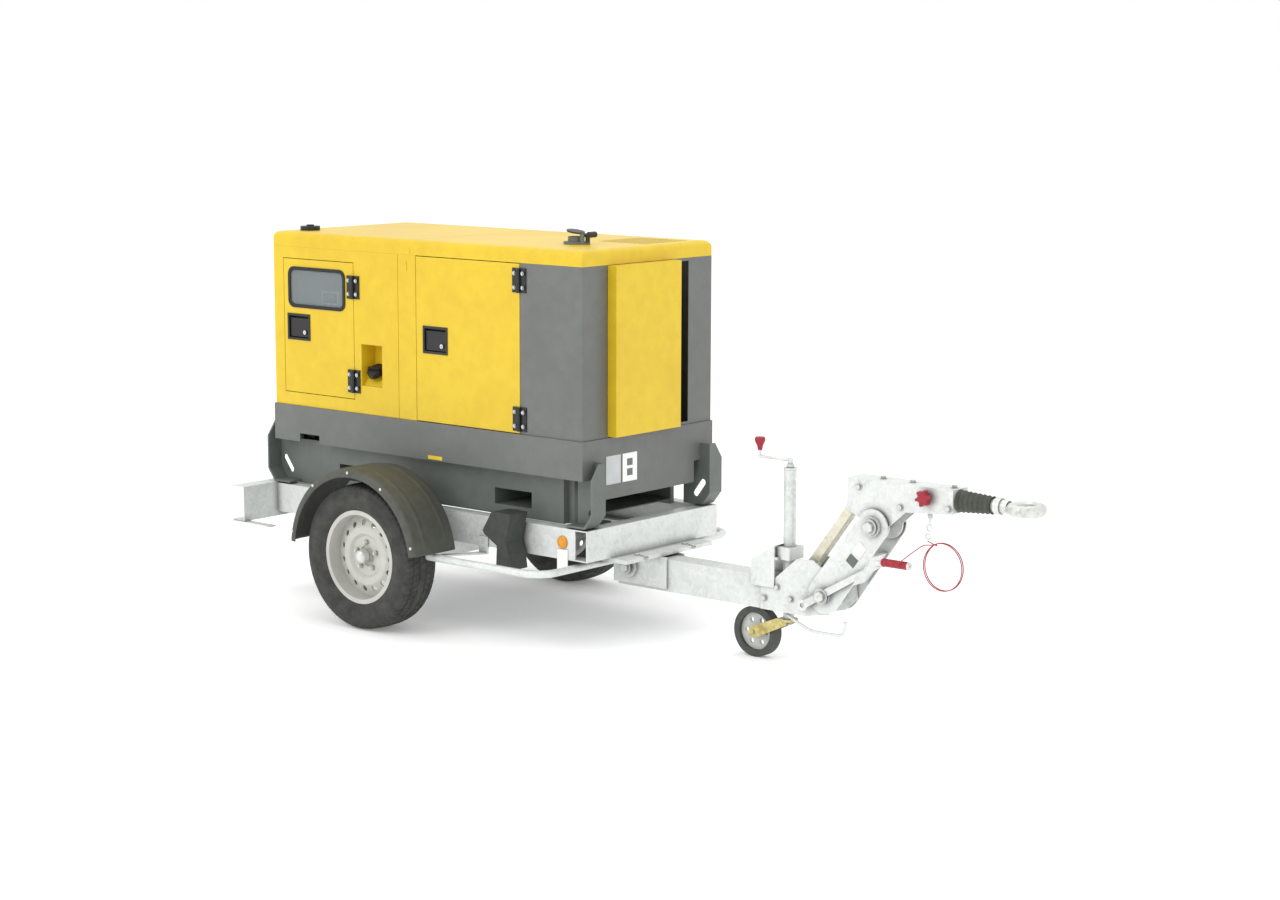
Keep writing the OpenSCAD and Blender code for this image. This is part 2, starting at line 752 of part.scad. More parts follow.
module service_door() {
    color(yellow) placed() door_pan(service_x, service_z, service_w, service_h, service_latch);
}

module service_fittings() {
    color(black) placed() service_leaf_set();
}

module service_paddle() {
    color(black) placed() latch_paddle(service_latch);
}

module left_door() {
    color(yellow) placed() mirror([0, 1, 0])
        door_pan(service_x, service_z, service_w, service_h, service_latch);
}

module left_fittings() {
    color(black) placed() mirror([0, 1, 0]) service_leaf_set();
}

module left_paddle() {
    color(black) placed() mirror([0, 1, 0]) latch_paddle(service_latch);
}

module control_door() {
    color(yellow) placed() difference() {
        door_pan(control_x, control_z, control_w, control_h, control_latch);
        translate([window_x, 0, window_z]) side_plate(-half_w - 1, sheet + 2)
            rounded_rect(window_w, window_h, window_r);
    }
}

module control_fittings() {
    color(black) placed() {
        for (z = control_hinges) translate([control_hinge_x, hinge_y, z]) door_leaf();
        latch_housing(control_latch);
    }
}

module control_paddle() {
    color(black) placed() latch_paddle(control_latch);
}

module window_gasket() {
    lip = 14;
    color(black) placed() translate([window_x, 0, window_z]) difference() {
        union() {
            side_plate(-half_w - 4, 3.7) rounded_rect(window_w, window_h, window_r);
            translate([0.3, 0, 0.3]) side_plate(-half_w - 1, 9)
                rounded_rect(window_w - 0.6, window_h - 0.6, window_r);
        }
        translate([lip, 0, lip]) side_plate(-half_w - 5, 20)
            rounded_rect(window_w - 2 * lip, window_h - 2 * lip, window_r - 10);
    }
}

module window_glass() {
    lip = 14;
    color("#20262b", 0.5) placed() translate([window_x + lip + 0.3, 0, window_z + lip + 0.3])
        side_plate(-half_w + 1, 4)
            rounded_rect(window_w - 2 * lip - 0.6, window_h - 2 * lip - 0.6, window_r - 10);
}

// ---- Caps, exhaust and what is inside ----

// The cap sits on the tray's slope and faces up and outwards
module at_cap() {
    translate(cap_at) rotate([37, 0, 0]) children();
}

module fuel_cap() {
    color(black) placed() at_cap() {
        cylinder(h = 22, r = 37);
        translate([-33, -6, 22]) cube([66, 12, 10]);
    }
}

module coolant_cap() {
    color(black) placed() translate([coolant_at[0], coolant_at[1], roof_z + roof_h + 0.6]) {
        cylinder(h = 18, r = 42);
        cylinder(h = 24, r = 16);
    }
}

module exhaust_system() {
    color(dark) placed() {
        translate([exhaust_at[0], exhaust_at[1], 0]) difference() {
            union() {
                translate([0, 0, roof_z - 120]) cylinder(h = 120 + roof_h + 30, r = 30);
                translate([0, 0, roof_z + roof_h + 0.6]) cylinder(h = 10, r = 48);
            }
            translate([0, 0, roof_z - 90]) cylinder(h = 400, r = 26);
        }
        along(230, exhaust_at[0] + 40, exhaust_at[1], roof_z - 165, 70);
        both_sides_of_flap() span([exhaust_at[0] + 40, exhaust_at[0] + 60], [14, 20],
            [roof_z + roof_h + 0.6, roof_z + roof_h + 44]);
        span([exhaust_at[0] + 28, exhaust_at[0] + 60], [exhaust_at[1] - 20, exhaust_at[1] + 20],
            [roof_z + roof_h + 0.6, roof_z + roof_h + 8]);
    }
}

module both_sides_of_flap() {
    for (s = [-1, 1]) translate([0, exhaust_at[1], 0]) scale([1, s, 1]) children();
}

flap_at = [exhaust_at[0] + 52, roof_z + roof_h + 36];

// Rain flap with its counterweight, lying on the pipe's mouth
module rain_flap() {
    color(black) placed() translate([flap_at[0], exhaust_at[1], flap_at[1]]) {
        rotate([90, 0, 0]) translate([0, 0, -13.7]) cylinder(h = 27.4, r = 7);
        rotate([0, 10, 0]) {
            translate([-52, 0, 2]) cylinder(h = 6, r = 37);
            translate([-30, -10, 0]) cube([34, 20, 6]);
            translate([0, -9, 0]) cube([30, 18, 6]);
        }
        translate([34, 20, 5]) rotate([90, 0, 0]) cylinder(h = 40, r = 12);
    }
}

module engine() {
    z0 = deck_z + plate + 40;
    color(dark) placed() {
        span([60, 480], [-130, 130], [z0, z0 + 120]);
        span([80, 470], [-110, 110], [z0 + 120, z0 + 330]);
        span([90, 460], [-90, 90], [z0 + 330, z0 + 420]);
        for (x = [150, 270, 390]) translate([x, 0, z0 + 420]) cylinder(h = 30, r = 34);
        along(480, 540, 0, z0 + 100, 70);
        along(30, 60, 0, z0 + 150, 190);
        span([180, 380], [110, 200], [z0 + 200, z0 + 300]);
        for (x = [100, 420], y = [-150, 150]) {
            translate([x, y, deck_z + plate]) cylinder(h = 42, r = 30);
            span([x - 20, x + 20], [min(y, 0), max(y, 0)], [z0, z0 + 12]);
        }
    }
}

module alternator() {
    z = deck_z + plate + 190;
    color("#4a5560") placed() {
        along(-380, 29.7, 0, z, 165);
        along(-400, -380, 0, z, 150);
        span([-360, -40], [-110, 110], [deck_z + plate, z - 120]);
        span([-330, -110], [-80, 80], [z + 150, z + 230]);
    }
}

module radiator() {
    color(black) placed() difference() {
        span([700, 770], [-280, 280], [deck_z + plate, roof_z - 60]);
        span([690, 712], [-250, 250], [deck_z + plate + 40, roof_z - 100]);
    }
}

fan_at = [655, seam_z + 300];

module fan() {
    color(black) placed() translate([fan_at[0], 0, fan_at[1]]) rotate([0, 90, 0]) {
        translate([0, 0, -12]) cylinder(h = 34, r = 50);
        for (k = [0 : 6]) rotate(k * 360 / 7) translate([40, 0, 5]) rotate([28, 0, 0])
            translate([0, -30, -2]) cube([160, 60, 4]);
    }
}

module battery() {
    color(black) placed() {
        top = deck_z + plate + 185;
        span([-half_l + 110, -half_l + 370], [-half_w + 60, -half_w + 235], [deck_z + plate, top]);
        for (x = [150, 330]) translate([x - half_l, -half_w + 200, top]) cylinder(h = 18, r = 9);
    }
}

module fuel_tank() {
    color(black) placed() {
        span([-755, -50], [-280, 280], [rail_top + 130, deck_z - 0.5]);
        translate([filler_x + 44, -half_w + 130, deck_z + plate + 1]) cylinder(h = 34, r = 24);
        rod([filler_x + 44, -half_w + 130, deck_z + plate + 32],
            [filler_x + 50, -half_w + 112, filler_z + 30], 24);
    }
}

panel_y = -half_w + door_t + 30;

module control_panel() {
    color(dark) placed() {
        difference() {
            span([control_x + 20, control_x + control_w - 20], [panel_y, panel_y + 150],
                [control_z + 180, control_z + control_h - 10]);
            across([control_x + 350, control_z + 330], panel_y - 1, panel_y + 7, 10 + fit);
        }
        span([window_x + 165, window_x + 265], [panel_y - 10, panel_y], [window_z + 20, window_z + 96]);
        for (x = [40, 140, 240]) translate([control_x + 60 + x, panel_y, control_z + 222])
            rotate([90, 0, 0]) cylinder(h = 14, r = 30);
    }
}

module stop_button() {
    color(red) placed() translate([control_x + 350, panel_y - 0.3, control_z + 330]) rotate([90, 0, 0]) {
        cylinder(h = 12, r = 10);
        translate([0, 0, 8]) cylinder(h = 10, r = 19);
    }
}

// ---- Jockey wheel ----

module jockey_tube() {
    color(zinc) placed() translate([jockey_x, 0, 0]) difference() {
        union() {
            translate([0, 0, bar_z + 12]) cylinder(h = jockey_top - bar_z - 12, r = jockey_d / 2);
            translate([0, 0, jockey_top]) cylinder(h = 6, r = jockey_d / 2 + 2);
        }
        translate([0, 0, bar_z]) cylinder(h = jockey_top - bar_z - 8, r = leg_r + fit);
        translate([0, 0, jockey_top - 20]) cylinder(h = 40, r = 9 + fit);
    }
}

module jockey_leg() {
    color(zinc) placed() translate([jockey_x, 0, 0]) {
        difference() {
            translate([0, 0, fork_z + 10]) cylinder(h = jockey_top - fork_z - 80, r = leg_r);
            translate([0, 0, fork_z + 40]) cylinder(h = 700, r = leg_r - 4);
        }
        translate([0, 0, fork_z - 8]) cylinder(h = 30, r = 9);
        translate([0, 0, fork_z - 15]) cylinder(h = 7.7, r = 14);
    }
}

module jockey_fork() {
    y = jockey_wheel_w / 2 + 3;
    color("#b8a56a") placed() {
        difference() {
            union() {
                translate([jockey_x, 0, fork_z]) cylinder(h = 9.7, r = 36);
                span([jockey_x - 36, jockey_x], [-y - 5, y + 5], [fork_z, fork_z + 9.7]);
            }
            translate([jockey_x, 0, fork_z - 1]) cylinder(h = 20, r = 9 + fit);
        }
        both_sides() side_plate(-y - 5, 5) polygon([[jockey_x + 10, fork_z + 9.7], [jockey_x - 36, fork_z + 9.7],
            [jockey_x - trail - 18, jockey_wheel_r + 16], [jockey_x - trail - 18, jockey_wheel_r - 16],
            [jockey_x - trail + 16, jockey_wheel_r - 20], [jockey_x + 10, fork_z - 12]]);
        across([jockey_x - trail, jockey_wheel_r], -y - 9, y + 9, 8);
    }
}

module jockey_wheel() {
    color(black) placed() translate([jockey_x - trail, 0, jockey_wheel_r]) rotate([90, 0, 0]) difference() {
        union() {
            cylinder(h = jockey_wheel_w, r = 22, center = true);
            cylinder(h = 12, r = jockey_wheel_r - 12, center = true);
            rotate_extrude() translate([jockey_wheel_r - 26, -jockey_wheel_w / 2 + 4])
                square([26, jockey_wheel_w - 8]);
        }
        cylinder(h = 200, r = 8 + fit, center = true);
        for (k = [0 : 5]) rotate(60 * k) translate([48, 0, 0]) cylinder(h = 40, r = 10, center = true);
    }
}

module jockey_crank() {
    z = jockey_top + 34;
    color(zinc) placed() {
        translate([jockey_x, 0, jockey_top - 16]) cylinder(h = 60, r = 9);
        translate([jockey_x, 0, jockey_top + 8]) cylinder(h = 12, r = 15);
        along(jockey_x - crank_l, jockey_x, 0, z, 6);
        translate([jockey_x - crank_l, 0, z - 6]) cylinder(h = 76, r = 6);
    }
}

module crank_grip() {
    z = jockey_top + 60;
    color(red) placed() translate([jockey_x - crank_l, 0, z]) difference() {
        rotate_extrude() polygon([[0, 0], [9, 0], [11, 14], [20, 34], [21, 42], [17, 50], [0, 50]]);
        translate([0, 0, -1]) cylinder(h = 47, r = 6 + fit);
    }
}

// ---- Height-adjustable towbar and coupling ----

module in_link() {
    translate([link_rear[0], 0, link_rear[1]]) rotate([0, -link_a, 0]) children();
}

module tow_link() {
    rear = 72;
    front = 65;
    color(zinc) placed() in_link() {
        both_sides() difference() {
            side_plate(-link_y - link_t, link_t) {
                circle(rear);
                translate([link_l, 0]) circle(front);
                polygon([[0, rear], [link_l, front], [link_l, -front], [0, -rear]]);
            }
            for (x = [0, link_l]) across([x, 0], -link_y - link_t - 1, -link_y + 1, pivot_r + fit);
        }
        span([105, link_l - 105], [-link_y, link_y], [-60, -52]);
    }
}

module strut() {
    v = strut_top - strut_low;
    color(zinc) placed() translate([strut_low[0], 0, strut_low[1]]) rotate([0, -link_a, 0]) difference() {
        union() {
            span([0, norm(v)], [-22, 22], [-18, 18]);
            across([0, 0], -22, 22, 22);
            across([norm(v), 0], -22, 22, 22);
        }
        across([0, 0], -30, 30, 10 + fit);
        across([norm(v), 0], -30, 30, 10 + 0.4);
        span([30, norm(v) - 30], [-16, 16], [-12, 19]);
    }
}

module head() {
    t = 8;
    outline = [[1872, 760], [head_x1, 760], [head_x1, 670], [2130, 655], [2062, 596], [1990, 580],
        [1950, 600], [1872, 640]];
    color(zinc) placed() {
        both_sides() difference() {
            side_plate(-cheek_y, t) {
                polygon(outline);
                translate(link_front) circle(60);
            }
            across(link_front, -cheek_y - 1, -cheek_y + t + 1, pivot_r + fit);
        }
        span([1872, head_x1], [-cheek_y + 1, cheek_y - 1], [752, 760]);
        both_sides() across(link_front, -cheek_y - 8.7, -cheek_y - 0, 36);
        across(link_front, -link_y - link_t - 10, link_y + link_t + 10, pivot_r);
        both_sides() across(link_front, -link_y - link_t - 12, -link_y - link_t - 0.5, 38);
        across(strut_top, -cheek_y, cheek_y, 10);
        difference() {
            span([2160, head_x1], [-cheek_y + t, cheek_y - t], [672, 752]);
            along(2150, head_x1 + 1, 0, shaft_z, shaft_d / 2 + fit);
        }
        // Hook eye below the head, and the snap hook that hangs from it
        span([hook_at[0] - 10, hook_at[0] + 10], [hook_at[1] - 3, hook_at[1] + 3], [640, 673]);
        translate([hook_at[0] - 2, hook_at[1], 604]) rotate([90, 0, 0]) rotate_extrude()
            translate([12, 0]) circle(3, $fn = 16);
        rod([hook_at[0] - 2, hook_at[1], 616], [hook_at[0], hook_at[1], 641], 4);
        translate([hook_at[0] - 8, hook_at[1], 572]) rotate([90, 0, 0]) rotate_extrude()
            translate([10, 0]) circle(3, $fn = 16);
    }
}

module towing_eye() {
    r = shaft_d / 2;
    color(zinc) placed() {
        difference() {
            union() {
                along(2210, eye_x - eye_ring_r - 20, 0, shaft_z, r);
                translate([eye_x, 0, shaft_z]) rotate_extrude() translate([eye_ring_r, 0])
                    circle(eye_section_r);
                along(eye_x - eye_ring_r - 70, eye_x - eye_ring_r, 0, shaft_z, 17);
            }
            translate([eye_x, 0, shaft_z - 60]) cylinder(h = 120, r = eye_bore_r);
        }
        along(2488, 2512, 0, shaft_z, 31);
    }
}

// Rubber gaiter over the overrun shaft: one profile turned about the shaft
module bellows() {
    n = 7;
    l = 140;
    x = head_x1 + 0.3;
    inner = shaft_d / 2 + 2;
    outer = [for (k = [0 : 2 * n]) [inner + 15 - 0.6 * k - (k % 2 == 0 ? 0 : 7), l * k / (2 * n)]];
    color(black) placed() translate([x, 0, shaft_z]) rotate([0, 90, 0]) rotate_extrude()
        polygon(concat([[inner, 0]], outer, [[inner, l]]));
}

module lock_knob() {
    color(red) placed() translate([2226, -cheek_y - 0.3, 722]) rotate([90, 0, 0]) {
        cylinder(h = 15, r = 13);
        translate([0, 0, 14]) linear_extrude(height = 22)
            polygon([for (a = [0 : 15 : 345]) (a % 60 < 30 ? 31 : 20) * [cos(a + 8), sin(a + 8)]]);
    }
}

lever_pivot = [1698, 253];
grip_y = -94;

module handbrake_lever() {
    y = -cheek_y - cheek_t - 30;
    color(zinc) placed() {
        difference() {
            union() {
                across(lever_pivot, y, y + 8, 22);
                side_plate(y, 8) polygon([lever_pivot + [-6, 14], lever_pivot + [8, -13], [2060, 452],
                    [2052, 470]]);
            }
            across(lever_pivot, y - 1, y + 9, 9 + fit);
        }
        along(2040, 2070, grip_y, 462, 10);
    }
    color(red) placed() along(2066, 2186, grip_y, 468, 14);
}

module breakaway_cable() {
    sides = 8;
    last = len(cable_path) - 1;
    points = [for (i = [0 : last]) each ring(cable_path[i], heading(cable_path, i), cable_d / 2, sides)];
    walls = [for (i = [0 : last - 1], k = [0 : sides - 1])
        let (a = i * sides + k, b = i * sides + (k + 1) % sides) [a, b, b + sides, a + sides]];
    caps = [[for (k = [sides - 1 : -1 : 0]) k], [for (k = [0 : sides - 1]) last * sides + k]];
    color(red) placed() polyhedron(points, concat(walls, caps));
}

chassis_rails();
cross_members();
axle_tube();
drawbar_beam();
drawbar_clamp();
step_bars();
mudguard_right();
mudguard_left();
road_lamps();
base_frame();
skid_frame();
canopy_shell();
roof();
front_panel();
baffle_box();
frame_hinges();
exhaust_system();
engine();
alternator();
radiator();
battery();
fuel_tank();
control_panel();
jockey_tube();
control_door();
control_fittings();
window_glass();
window_gasket();
control_paddle();
service_door();
service_fittings();
service_paddle();
left_door();
left_fittings();
left_paddle();
fuel_cap();
coolant_cap();
rain_flap();
fan();
stop_button();
wheel_chock();
arm_right();
arm_left();
tyre_right();
rim_right();
tyre_left();
rim_left();
jockey_leg();
jockey_crank();
crank_grip();
jockey_fork();
jockey_wheel();
tow_link();
strut();
head();
towing_eye();
bellows();
lock_knob();
handbrake_lever();
breakaway_cable();
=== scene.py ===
"""Towable diesel generator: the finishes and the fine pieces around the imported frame. Units are metres."""

import math

import bmesh
import bpy
import numpy as np
from mathutils import Matrix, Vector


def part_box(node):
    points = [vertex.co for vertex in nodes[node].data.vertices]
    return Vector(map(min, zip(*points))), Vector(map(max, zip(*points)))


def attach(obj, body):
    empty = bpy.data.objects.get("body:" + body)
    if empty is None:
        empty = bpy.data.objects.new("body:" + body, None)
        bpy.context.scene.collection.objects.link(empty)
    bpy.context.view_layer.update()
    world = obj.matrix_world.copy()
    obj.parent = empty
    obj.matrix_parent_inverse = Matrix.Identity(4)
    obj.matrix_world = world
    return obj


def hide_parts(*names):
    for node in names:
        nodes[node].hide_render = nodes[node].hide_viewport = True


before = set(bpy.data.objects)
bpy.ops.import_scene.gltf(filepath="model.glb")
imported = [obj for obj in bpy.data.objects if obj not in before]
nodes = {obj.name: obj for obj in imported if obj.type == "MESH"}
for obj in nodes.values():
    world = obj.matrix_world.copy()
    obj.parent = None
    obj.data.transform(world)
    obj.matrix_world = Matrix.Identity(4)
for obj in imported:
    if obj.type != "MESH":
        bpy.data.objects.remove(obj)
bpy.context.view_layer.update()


# ---- Camera and studio ----
# A seamless pale sweep, one broad soft light over the right side, a weaker one in front, and an even
# sky of the same white. The camera stands ahead of the towing eye on the right side.

# Design places are measured from the canopy's middle, which lies this far behind the origin
canopy_x = (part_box("baffle_box")[0].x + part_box("canopy_shell")[0].x) / 2


def at(x, y, z):
    """A point given in millimetres from the canopy's middle, as metres in the row frame."""
    return np.array([canopy_x + x / 1000, y / 1000, z / 1000])


def place_camera(spot, yaw, pitch, roll, lens):
    """A camera whose view points along (yaw, pitch), turned by roll about that line."""
    ahead = np.array([math.cos(pitch) * math.cos(yaw), math.cos(pitch) * math.sin(yaw), math.sin(pitch)])
    flat_right = np.array([math.sin(yaw), -math.cos(yaw), 0.0])
    flat_up = np.cross(flat_right, ahead)
    right = math.cos(roll) * flat_right + math.sin(roll) * flat_up
    up = np.cross(right, ahead)
    data = bpy.data.cameras.new("studio_camera")
    data.lens, data.sensor_width = lens, 36.0
    camera = bpy.data.objects.new("studio_camera", data)
    columns = np.column_stack([right, up, -ahead])
    camera.matrix_world = Matrix.Translation(spot) @ Matrix(columns.tolist()).to_4x4()
    bpy.context.scene.collection.objects.link(camera)
    bpy.context.scene.camera = camera


place_camera(at(7173.7, -7637.9, 2292.3), math.radians(129.723), math.radians(-8.836),
             math.radians(0.166), 70.75)


def linear(code):
    """The linear colour of an sRGB hex code such as "#a1b2c3"."""
    parts = [int(code[i:i + 2], 16) / 255 for i in (1, 3, 5)]
    return tuple(c / 12.92 if c <= 0.04045 else ((c + 0.055) / 1.055) ** 2.4 for c in parts) + (1.0,)


def add(tree, kind, inputs=None, **settings):
    """Adds a node to a tree. Each input is a plain value, or a (node, output name) pair to link from."""
    made = tree.nodes.new(kind)
    for name, value in settings.items():
        setattr(made, name, value)
    for name, value in (inputs or {}).items():
        if isinstance(value, tuple) and len(value) == 2 and isinstance(value[0], bpy.types.Node):
            tree.links.new(value[0].outputs[value[1]], made.inputs[name])
        else:
            made.inputs[name].default_value = value
    return made


def blank(name):
    """A new material, its tree and its Principled shader."""
    material = bpy.data.materials.new(name)
    material.use_nodes = True
    tree = material.node_tree
    return material, tree, tree.nodes["Principled BSDF"]


def soft_light(name, spot, aim, size, power):
    """A square area light at spot, facing aim."""
    data = bpy.data.lights.new(name, "AREA")
    data.size, data.energy = size, power
    lamp = bpy.data.objects.new(name, data)
    away = np.asarray(spot, float) - np.asarray(aim, float)
    away /= np.linalg.norm(away)
    side = np.cross([0.0, 0.0, 1.0], away)
    side /= np.linalg.norm(side)
    columns = np.column_stack([side, np.cross(away, side), away])
    lamp.matrix_world = Matrix.Translation(spot) @ Matrix(columns.tolist()).to_4x4()
    bpy.context.scene.collection.objects.link(lamp)


middle = at(500, 0, 800)
soft_light("key_light", at(-1500, -7000, 5200), middle, 4.0, 150)
soft_light("front_light", at(7500, -1500, 3800), middle, 4.0, 40)
soft_light("top_light", at(500, 800, 6000), middle, 5.0, 90)

sky = bpy.data.worlds.new("studio_sky")
sky.use_nodes = True
sky.node_tree.nodes["Background"].inputs["Color"].default_value = linear("#ffffff")
sky.node_tree.nodes["Background"].inputs["Strength"].default_value = 1.0
bpy.context.scene.world = sky
bpy.context.scene.view_settings.view_transform = "Standard"


def mesh_piece(name, points, faces, smooth=True):
    """An object named name whose mesh has these points and faces, facing outwards as given."""
    data = bpy.data.meshes.new(name)
    data.from_pydata(np.asarray(points, float).reshape(-1, 3).tolist(), [], [list(f) for f in faces])
    data.polygons.foreach_set("use_smooth", np.full(len(data.polygons), smooth))
    data.update()
    piece = bpy.data.objects.new(name, data)
    bpy.context.scene.collection.objects.link(piece)
    return piece


def finish_with(piece, material):
    """Gives a piece this one material."""
    piece.data.materials.clear()
    piece.data.materials.append(material)


# The floor is a wide sheet of white acrylic, faintly lit from below, so it fades into the sky's white.
sweep = 400 * np.array([[-1, -1, 0], [1, -1, 0], [1, 1, 0], [-1, 1, 0]], float)
floor = mesh_piece("studio_floor", sweep - [0, 0, 0.0005], [[0, 1, 2, 3]])
paper, paper_tree, paper_shader = blank("white_acrylic_sweep")
paper_grain = add(paper_tree, "ShaderNodeTexNoise", {"Scale": 0.6, "Detail": 2.0})
paper_tone = add(paper_tree, "ShaderNodeValToRGB", {"Fac": (paper_grain, "Fac")})
paper_tone.color_ramp.elements[0].color = linear("#fafafa")
paper_tone.color_ramp.elements[1].color = linear("#fdfdfd")
paper_tree.links.new(paper_tone.outputs["Color"], paper_shader.inputs["Base Color"])
paper_shader.inputs["Roughness"].default_value = 0.9
paper_shader.inputs["Emission Color"].default_value = linear("#ffffff")
paper_shader.inputs["Emission Strength"].default_value = 0.16
finish_with(floor, paper)


# ---- Breakaway cable ----
# A red plastic-coated steel cable that pulls the handbrake on if the coupling comes off. It starts beside
# the brake lever's grip and runs over two hanging turns to the snap hook under the coupling head.

cable_d = 0.004
cable_lead = [[2142, -113, 472], [2160, -113, 487], [2180, -111, 504], [2202, -92, 526], [2222, -63, 546]]
cable_tail = [[2262, -36, 546], [2236, -30, 551], [2214, -24, 556]]
turn_steps, turn_count = 30, 2
step = np.arange(turn_steps * turn_count + 1)
turn = np.radians(118 - step * 360 / turn_steps)
turns = np.column_stack([2300 + 84 * np.cos(turn), -60 + 10 * step / turn_steps, 474 + 88 * np.sin(turn)])
cable_route = np.array([at(*p) for p in cable_lead + turns.tolist() + cable_tail])


def smooth_route(points, pieces):
    """Points along a Catmull-Rom curve through the given ones, so many to each stretch."""
    p = np.vstack([2 * points[0] - points[1], points, 2 * points[-1] - points[-2]])
    t = (np.arange(pieces) / pieces)[None, :, None]
    a, b, c, d = (p[i:len(p) - 3 + i, None, :] for i in range(4))
    curve = 0.5 * (2 * b + (c - a) * t + (2 * a - 5 * b + 4 * c - d) * t ** 2
                   + (3 * b - a - 3 * c + d) * t ** 3)
    return np.vstack([curve.reshape(-1, 3), points[-1]])


def tube_along(name, route, radius, sides=12):
    """A closed round tube: at each point of the route, a circle square to the route, with its frame
    carried along without twist, and a fan at each end. radius is one number, or one for each point."""
    route = np.asarray(route, float)
    ahead = np.gradient(route, axis=0)
    ahead /= np.linalg.norm(ahead, axis=1)[:, None]
    side = np.zeros_like(route)
    start = np.eye(3)[np.argmin(np.abs(ahead[0]))]
    for i, direction in enumerate(ahead):
        last = side[i - 1] if i else start
        side[i] = last - direction * (last @ direction)
        side[i] /= np.linalg.norm(side[i])
    other = np.cross(ahead, side)
    angle = np.arange(sides) * 2 * np.pi / sides
    radii = np.broadcast_to(np.asarray(radius, float), (len(route),))
    rings = route[:, None, :] + radii[:, None, None] * (
        np.cos(angle)[None, :, None] * side[:, None, :] + np.sin(angle)[None, :, None] * other[:, None, :])
    n = len(route)
    i, k = np.meshgrid(np.arange(n - 1), np.arange(sides), indexing="ij")
    near, far = i * sides + k, i * sides + (k + 1) % sides
    walls = np.stack([near, far, far + sides, near + sides], -1).reshape(-1, 4).tolist()
    first, last = n * sides, n * sides + 1
    fans = [[first, (q + 1) % sides, q] for q in range(sides)]
    fans += [[last, (n - 1) * sides + q, (n - 1) * sides + (q + 1) % sides] for q in range(sides)]
    return mesh_piece(name, np.vstack([rings.reshape(-1, 3), route[0], route[-1]]), walls + fans)


def plastic(name, code, dark_code, roughness):
    """Moulded plastic: an even colour with faint handling marks, and a fine moulded grain."""
    material, tree, shader = blank(name)
    place = add(tree, "ShaderNodeTexCoord")
    marks = add(tree, "ShaderNodeTexNoise", {"Vector": (place, "Object"), "Scale": 35.0, "Detail": 5.0})
    tone = add(tree, "ShaderNodeValToRGB", {"Fac": (marks, "Fac")})
    tone.color_ramp.elements[0].color, tone.color_ramp.elements[0].position = linear(dark_code), 0.3
    tone.color_ramp.elements[1].color, tone.color_ramp.elements[1].position = linear(code), 0.7
    grain = add(tree, "ShaderNodeTexNoise", {"Vector": (place, "Object"), "Scale": 700.0, "Detail": 2.0})
    bump = add(tree, "ShaderNodeBump", {"Height": (grain, "Fac"), "Strength": 0.25, "Distance": 0.0004})
    tree.links.new(tone.outputs["Color"], shader.inputs["Base Color"])
    tree.links.new(bump.outputs["Normal"], shader.inputs["Normal"])
    shader.inputs["Roughness"].default_value = roughness
    return material


# PVC sheath: soft gloss and a clear pinkish red
sheath = plastic("red_pvc_sheath", "#b8203f", "#94182f", 0.35)
cable_line = smooth_route(cable_route, 3)
cable = tube_along("breakaway_cable_sheath", cable_line, cable_d / 2, 10)
finish_with(cable, sheath)
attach(cable, "coupling_head")
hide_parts("breakaway_cable")


# ---- Sheet-metal finishes ----
# The canopy and the base are folded steel sheet with an electrostatic powder coat: an even satin colour
# with a faint orange-peel ripple and a little chalking.

def powder_coat(name, code, worn_code, roughness):
    """Powder coat: colour varied by two noises, 0.4 m and 60 mm wide, and a 4 mm orange-peel ripple."""
    material, tree, shader = blank(name)
    place = add(tree, "ShaderNodeTexCoord")
    broad = add(tree, "ShaderNodeTexNoise", {"Vector": (place, "Object"), "Scale": 2.5, "Detail": 3.0})
    close = add(tree, "ShaderNodeTexNoise", {"Vector": (place, "Object"), "Scale": 17.0, "Detail": 6.0,
                                              "Roughness": 0.6})
    both = add(tree, "ShaderNodeMath", {0: (broad, "Fac"), 1: (close, "Fac")}, operation="MULTIPLY")
    tone = add(tree, "ShaderNodeValToRGB", {"Fac": (both, "Value")})
    tone.color_ramp.elements[0].color, tone.color_ramp.elements[0].position = linear(worn_code), 0.12
    tone.color_ramp.elements[1].color, tone.color_ramp.elements[1].position = linear(code), 0.34
    peel = add(tree, "ShaderNodeTexNoise", {"Vector": (place, "Object"), "Scale": 260.0, "Detail": 1.0})
    bump = add(tree, "ShaderNodeBump", {"Height": (peel, "Fac"), "Strength": 0.12, "Distance": 0.0006})
    shine = add(tree, "ShaderNodeMapRange", {"Value": (close, "Fac"), "To Min": roughness - 0.06,
                                             "To Max": roughness + 0.08})
    tree.links.new(tone.outputs["Color"], shader.inputs["Base Color"])
    tree.links.new(bump.outputs["Normal"], shader.inputs["Normal"])
    tree.links.new(shine.outputs["Result"], shader.inputs["Roughness"])
    shader.inputs["IOR"].default_value = 1.5
    return material


yellow_coat = powder_coat("yellow_powder_coat", "#dcbc20", "#d3b11c", 0.36)
grey_coat = powder_coat("grey_powder_coat", "#6b6d6b", "#626462", 0.42)
dark_coat = powder_coat("dark_grey_powder_coat", "#6a706c", "#5f6561", 0.45)
black_coat = powder_coat("black_powder_coat", "#1f2022", "#17181a", 0.4)
for name in ("canopy_shell", "roof", "baffle_box", "control_door", "service_door", "left_door"):
    finish_with(nodes[name], yellow_coat)
for name in ("base_frame", "front_panel"):
    finish_with(nodes[name], grey_coat)
for name in ("skid_frame", "exhaust_system", "arm_right", "arm_left", "control_panel"):
    finish_with(nodes[name], dark_coat)
for name in ("frame_hinges", "control_fittings", "service_fittings", "left_fittings", "rain_flap",
             "radiator"):
    finish_with(nodes[name], black_coat)


# ---- Galvanised and plated steel ----
# The chassis, drawbar and coupling are hot-dip galvanised: a dull, light grey zinc skin whose crystals
# show as a mottled spangle. The fork is yellow-passivated, the strut clear-passivated and the eye bright.

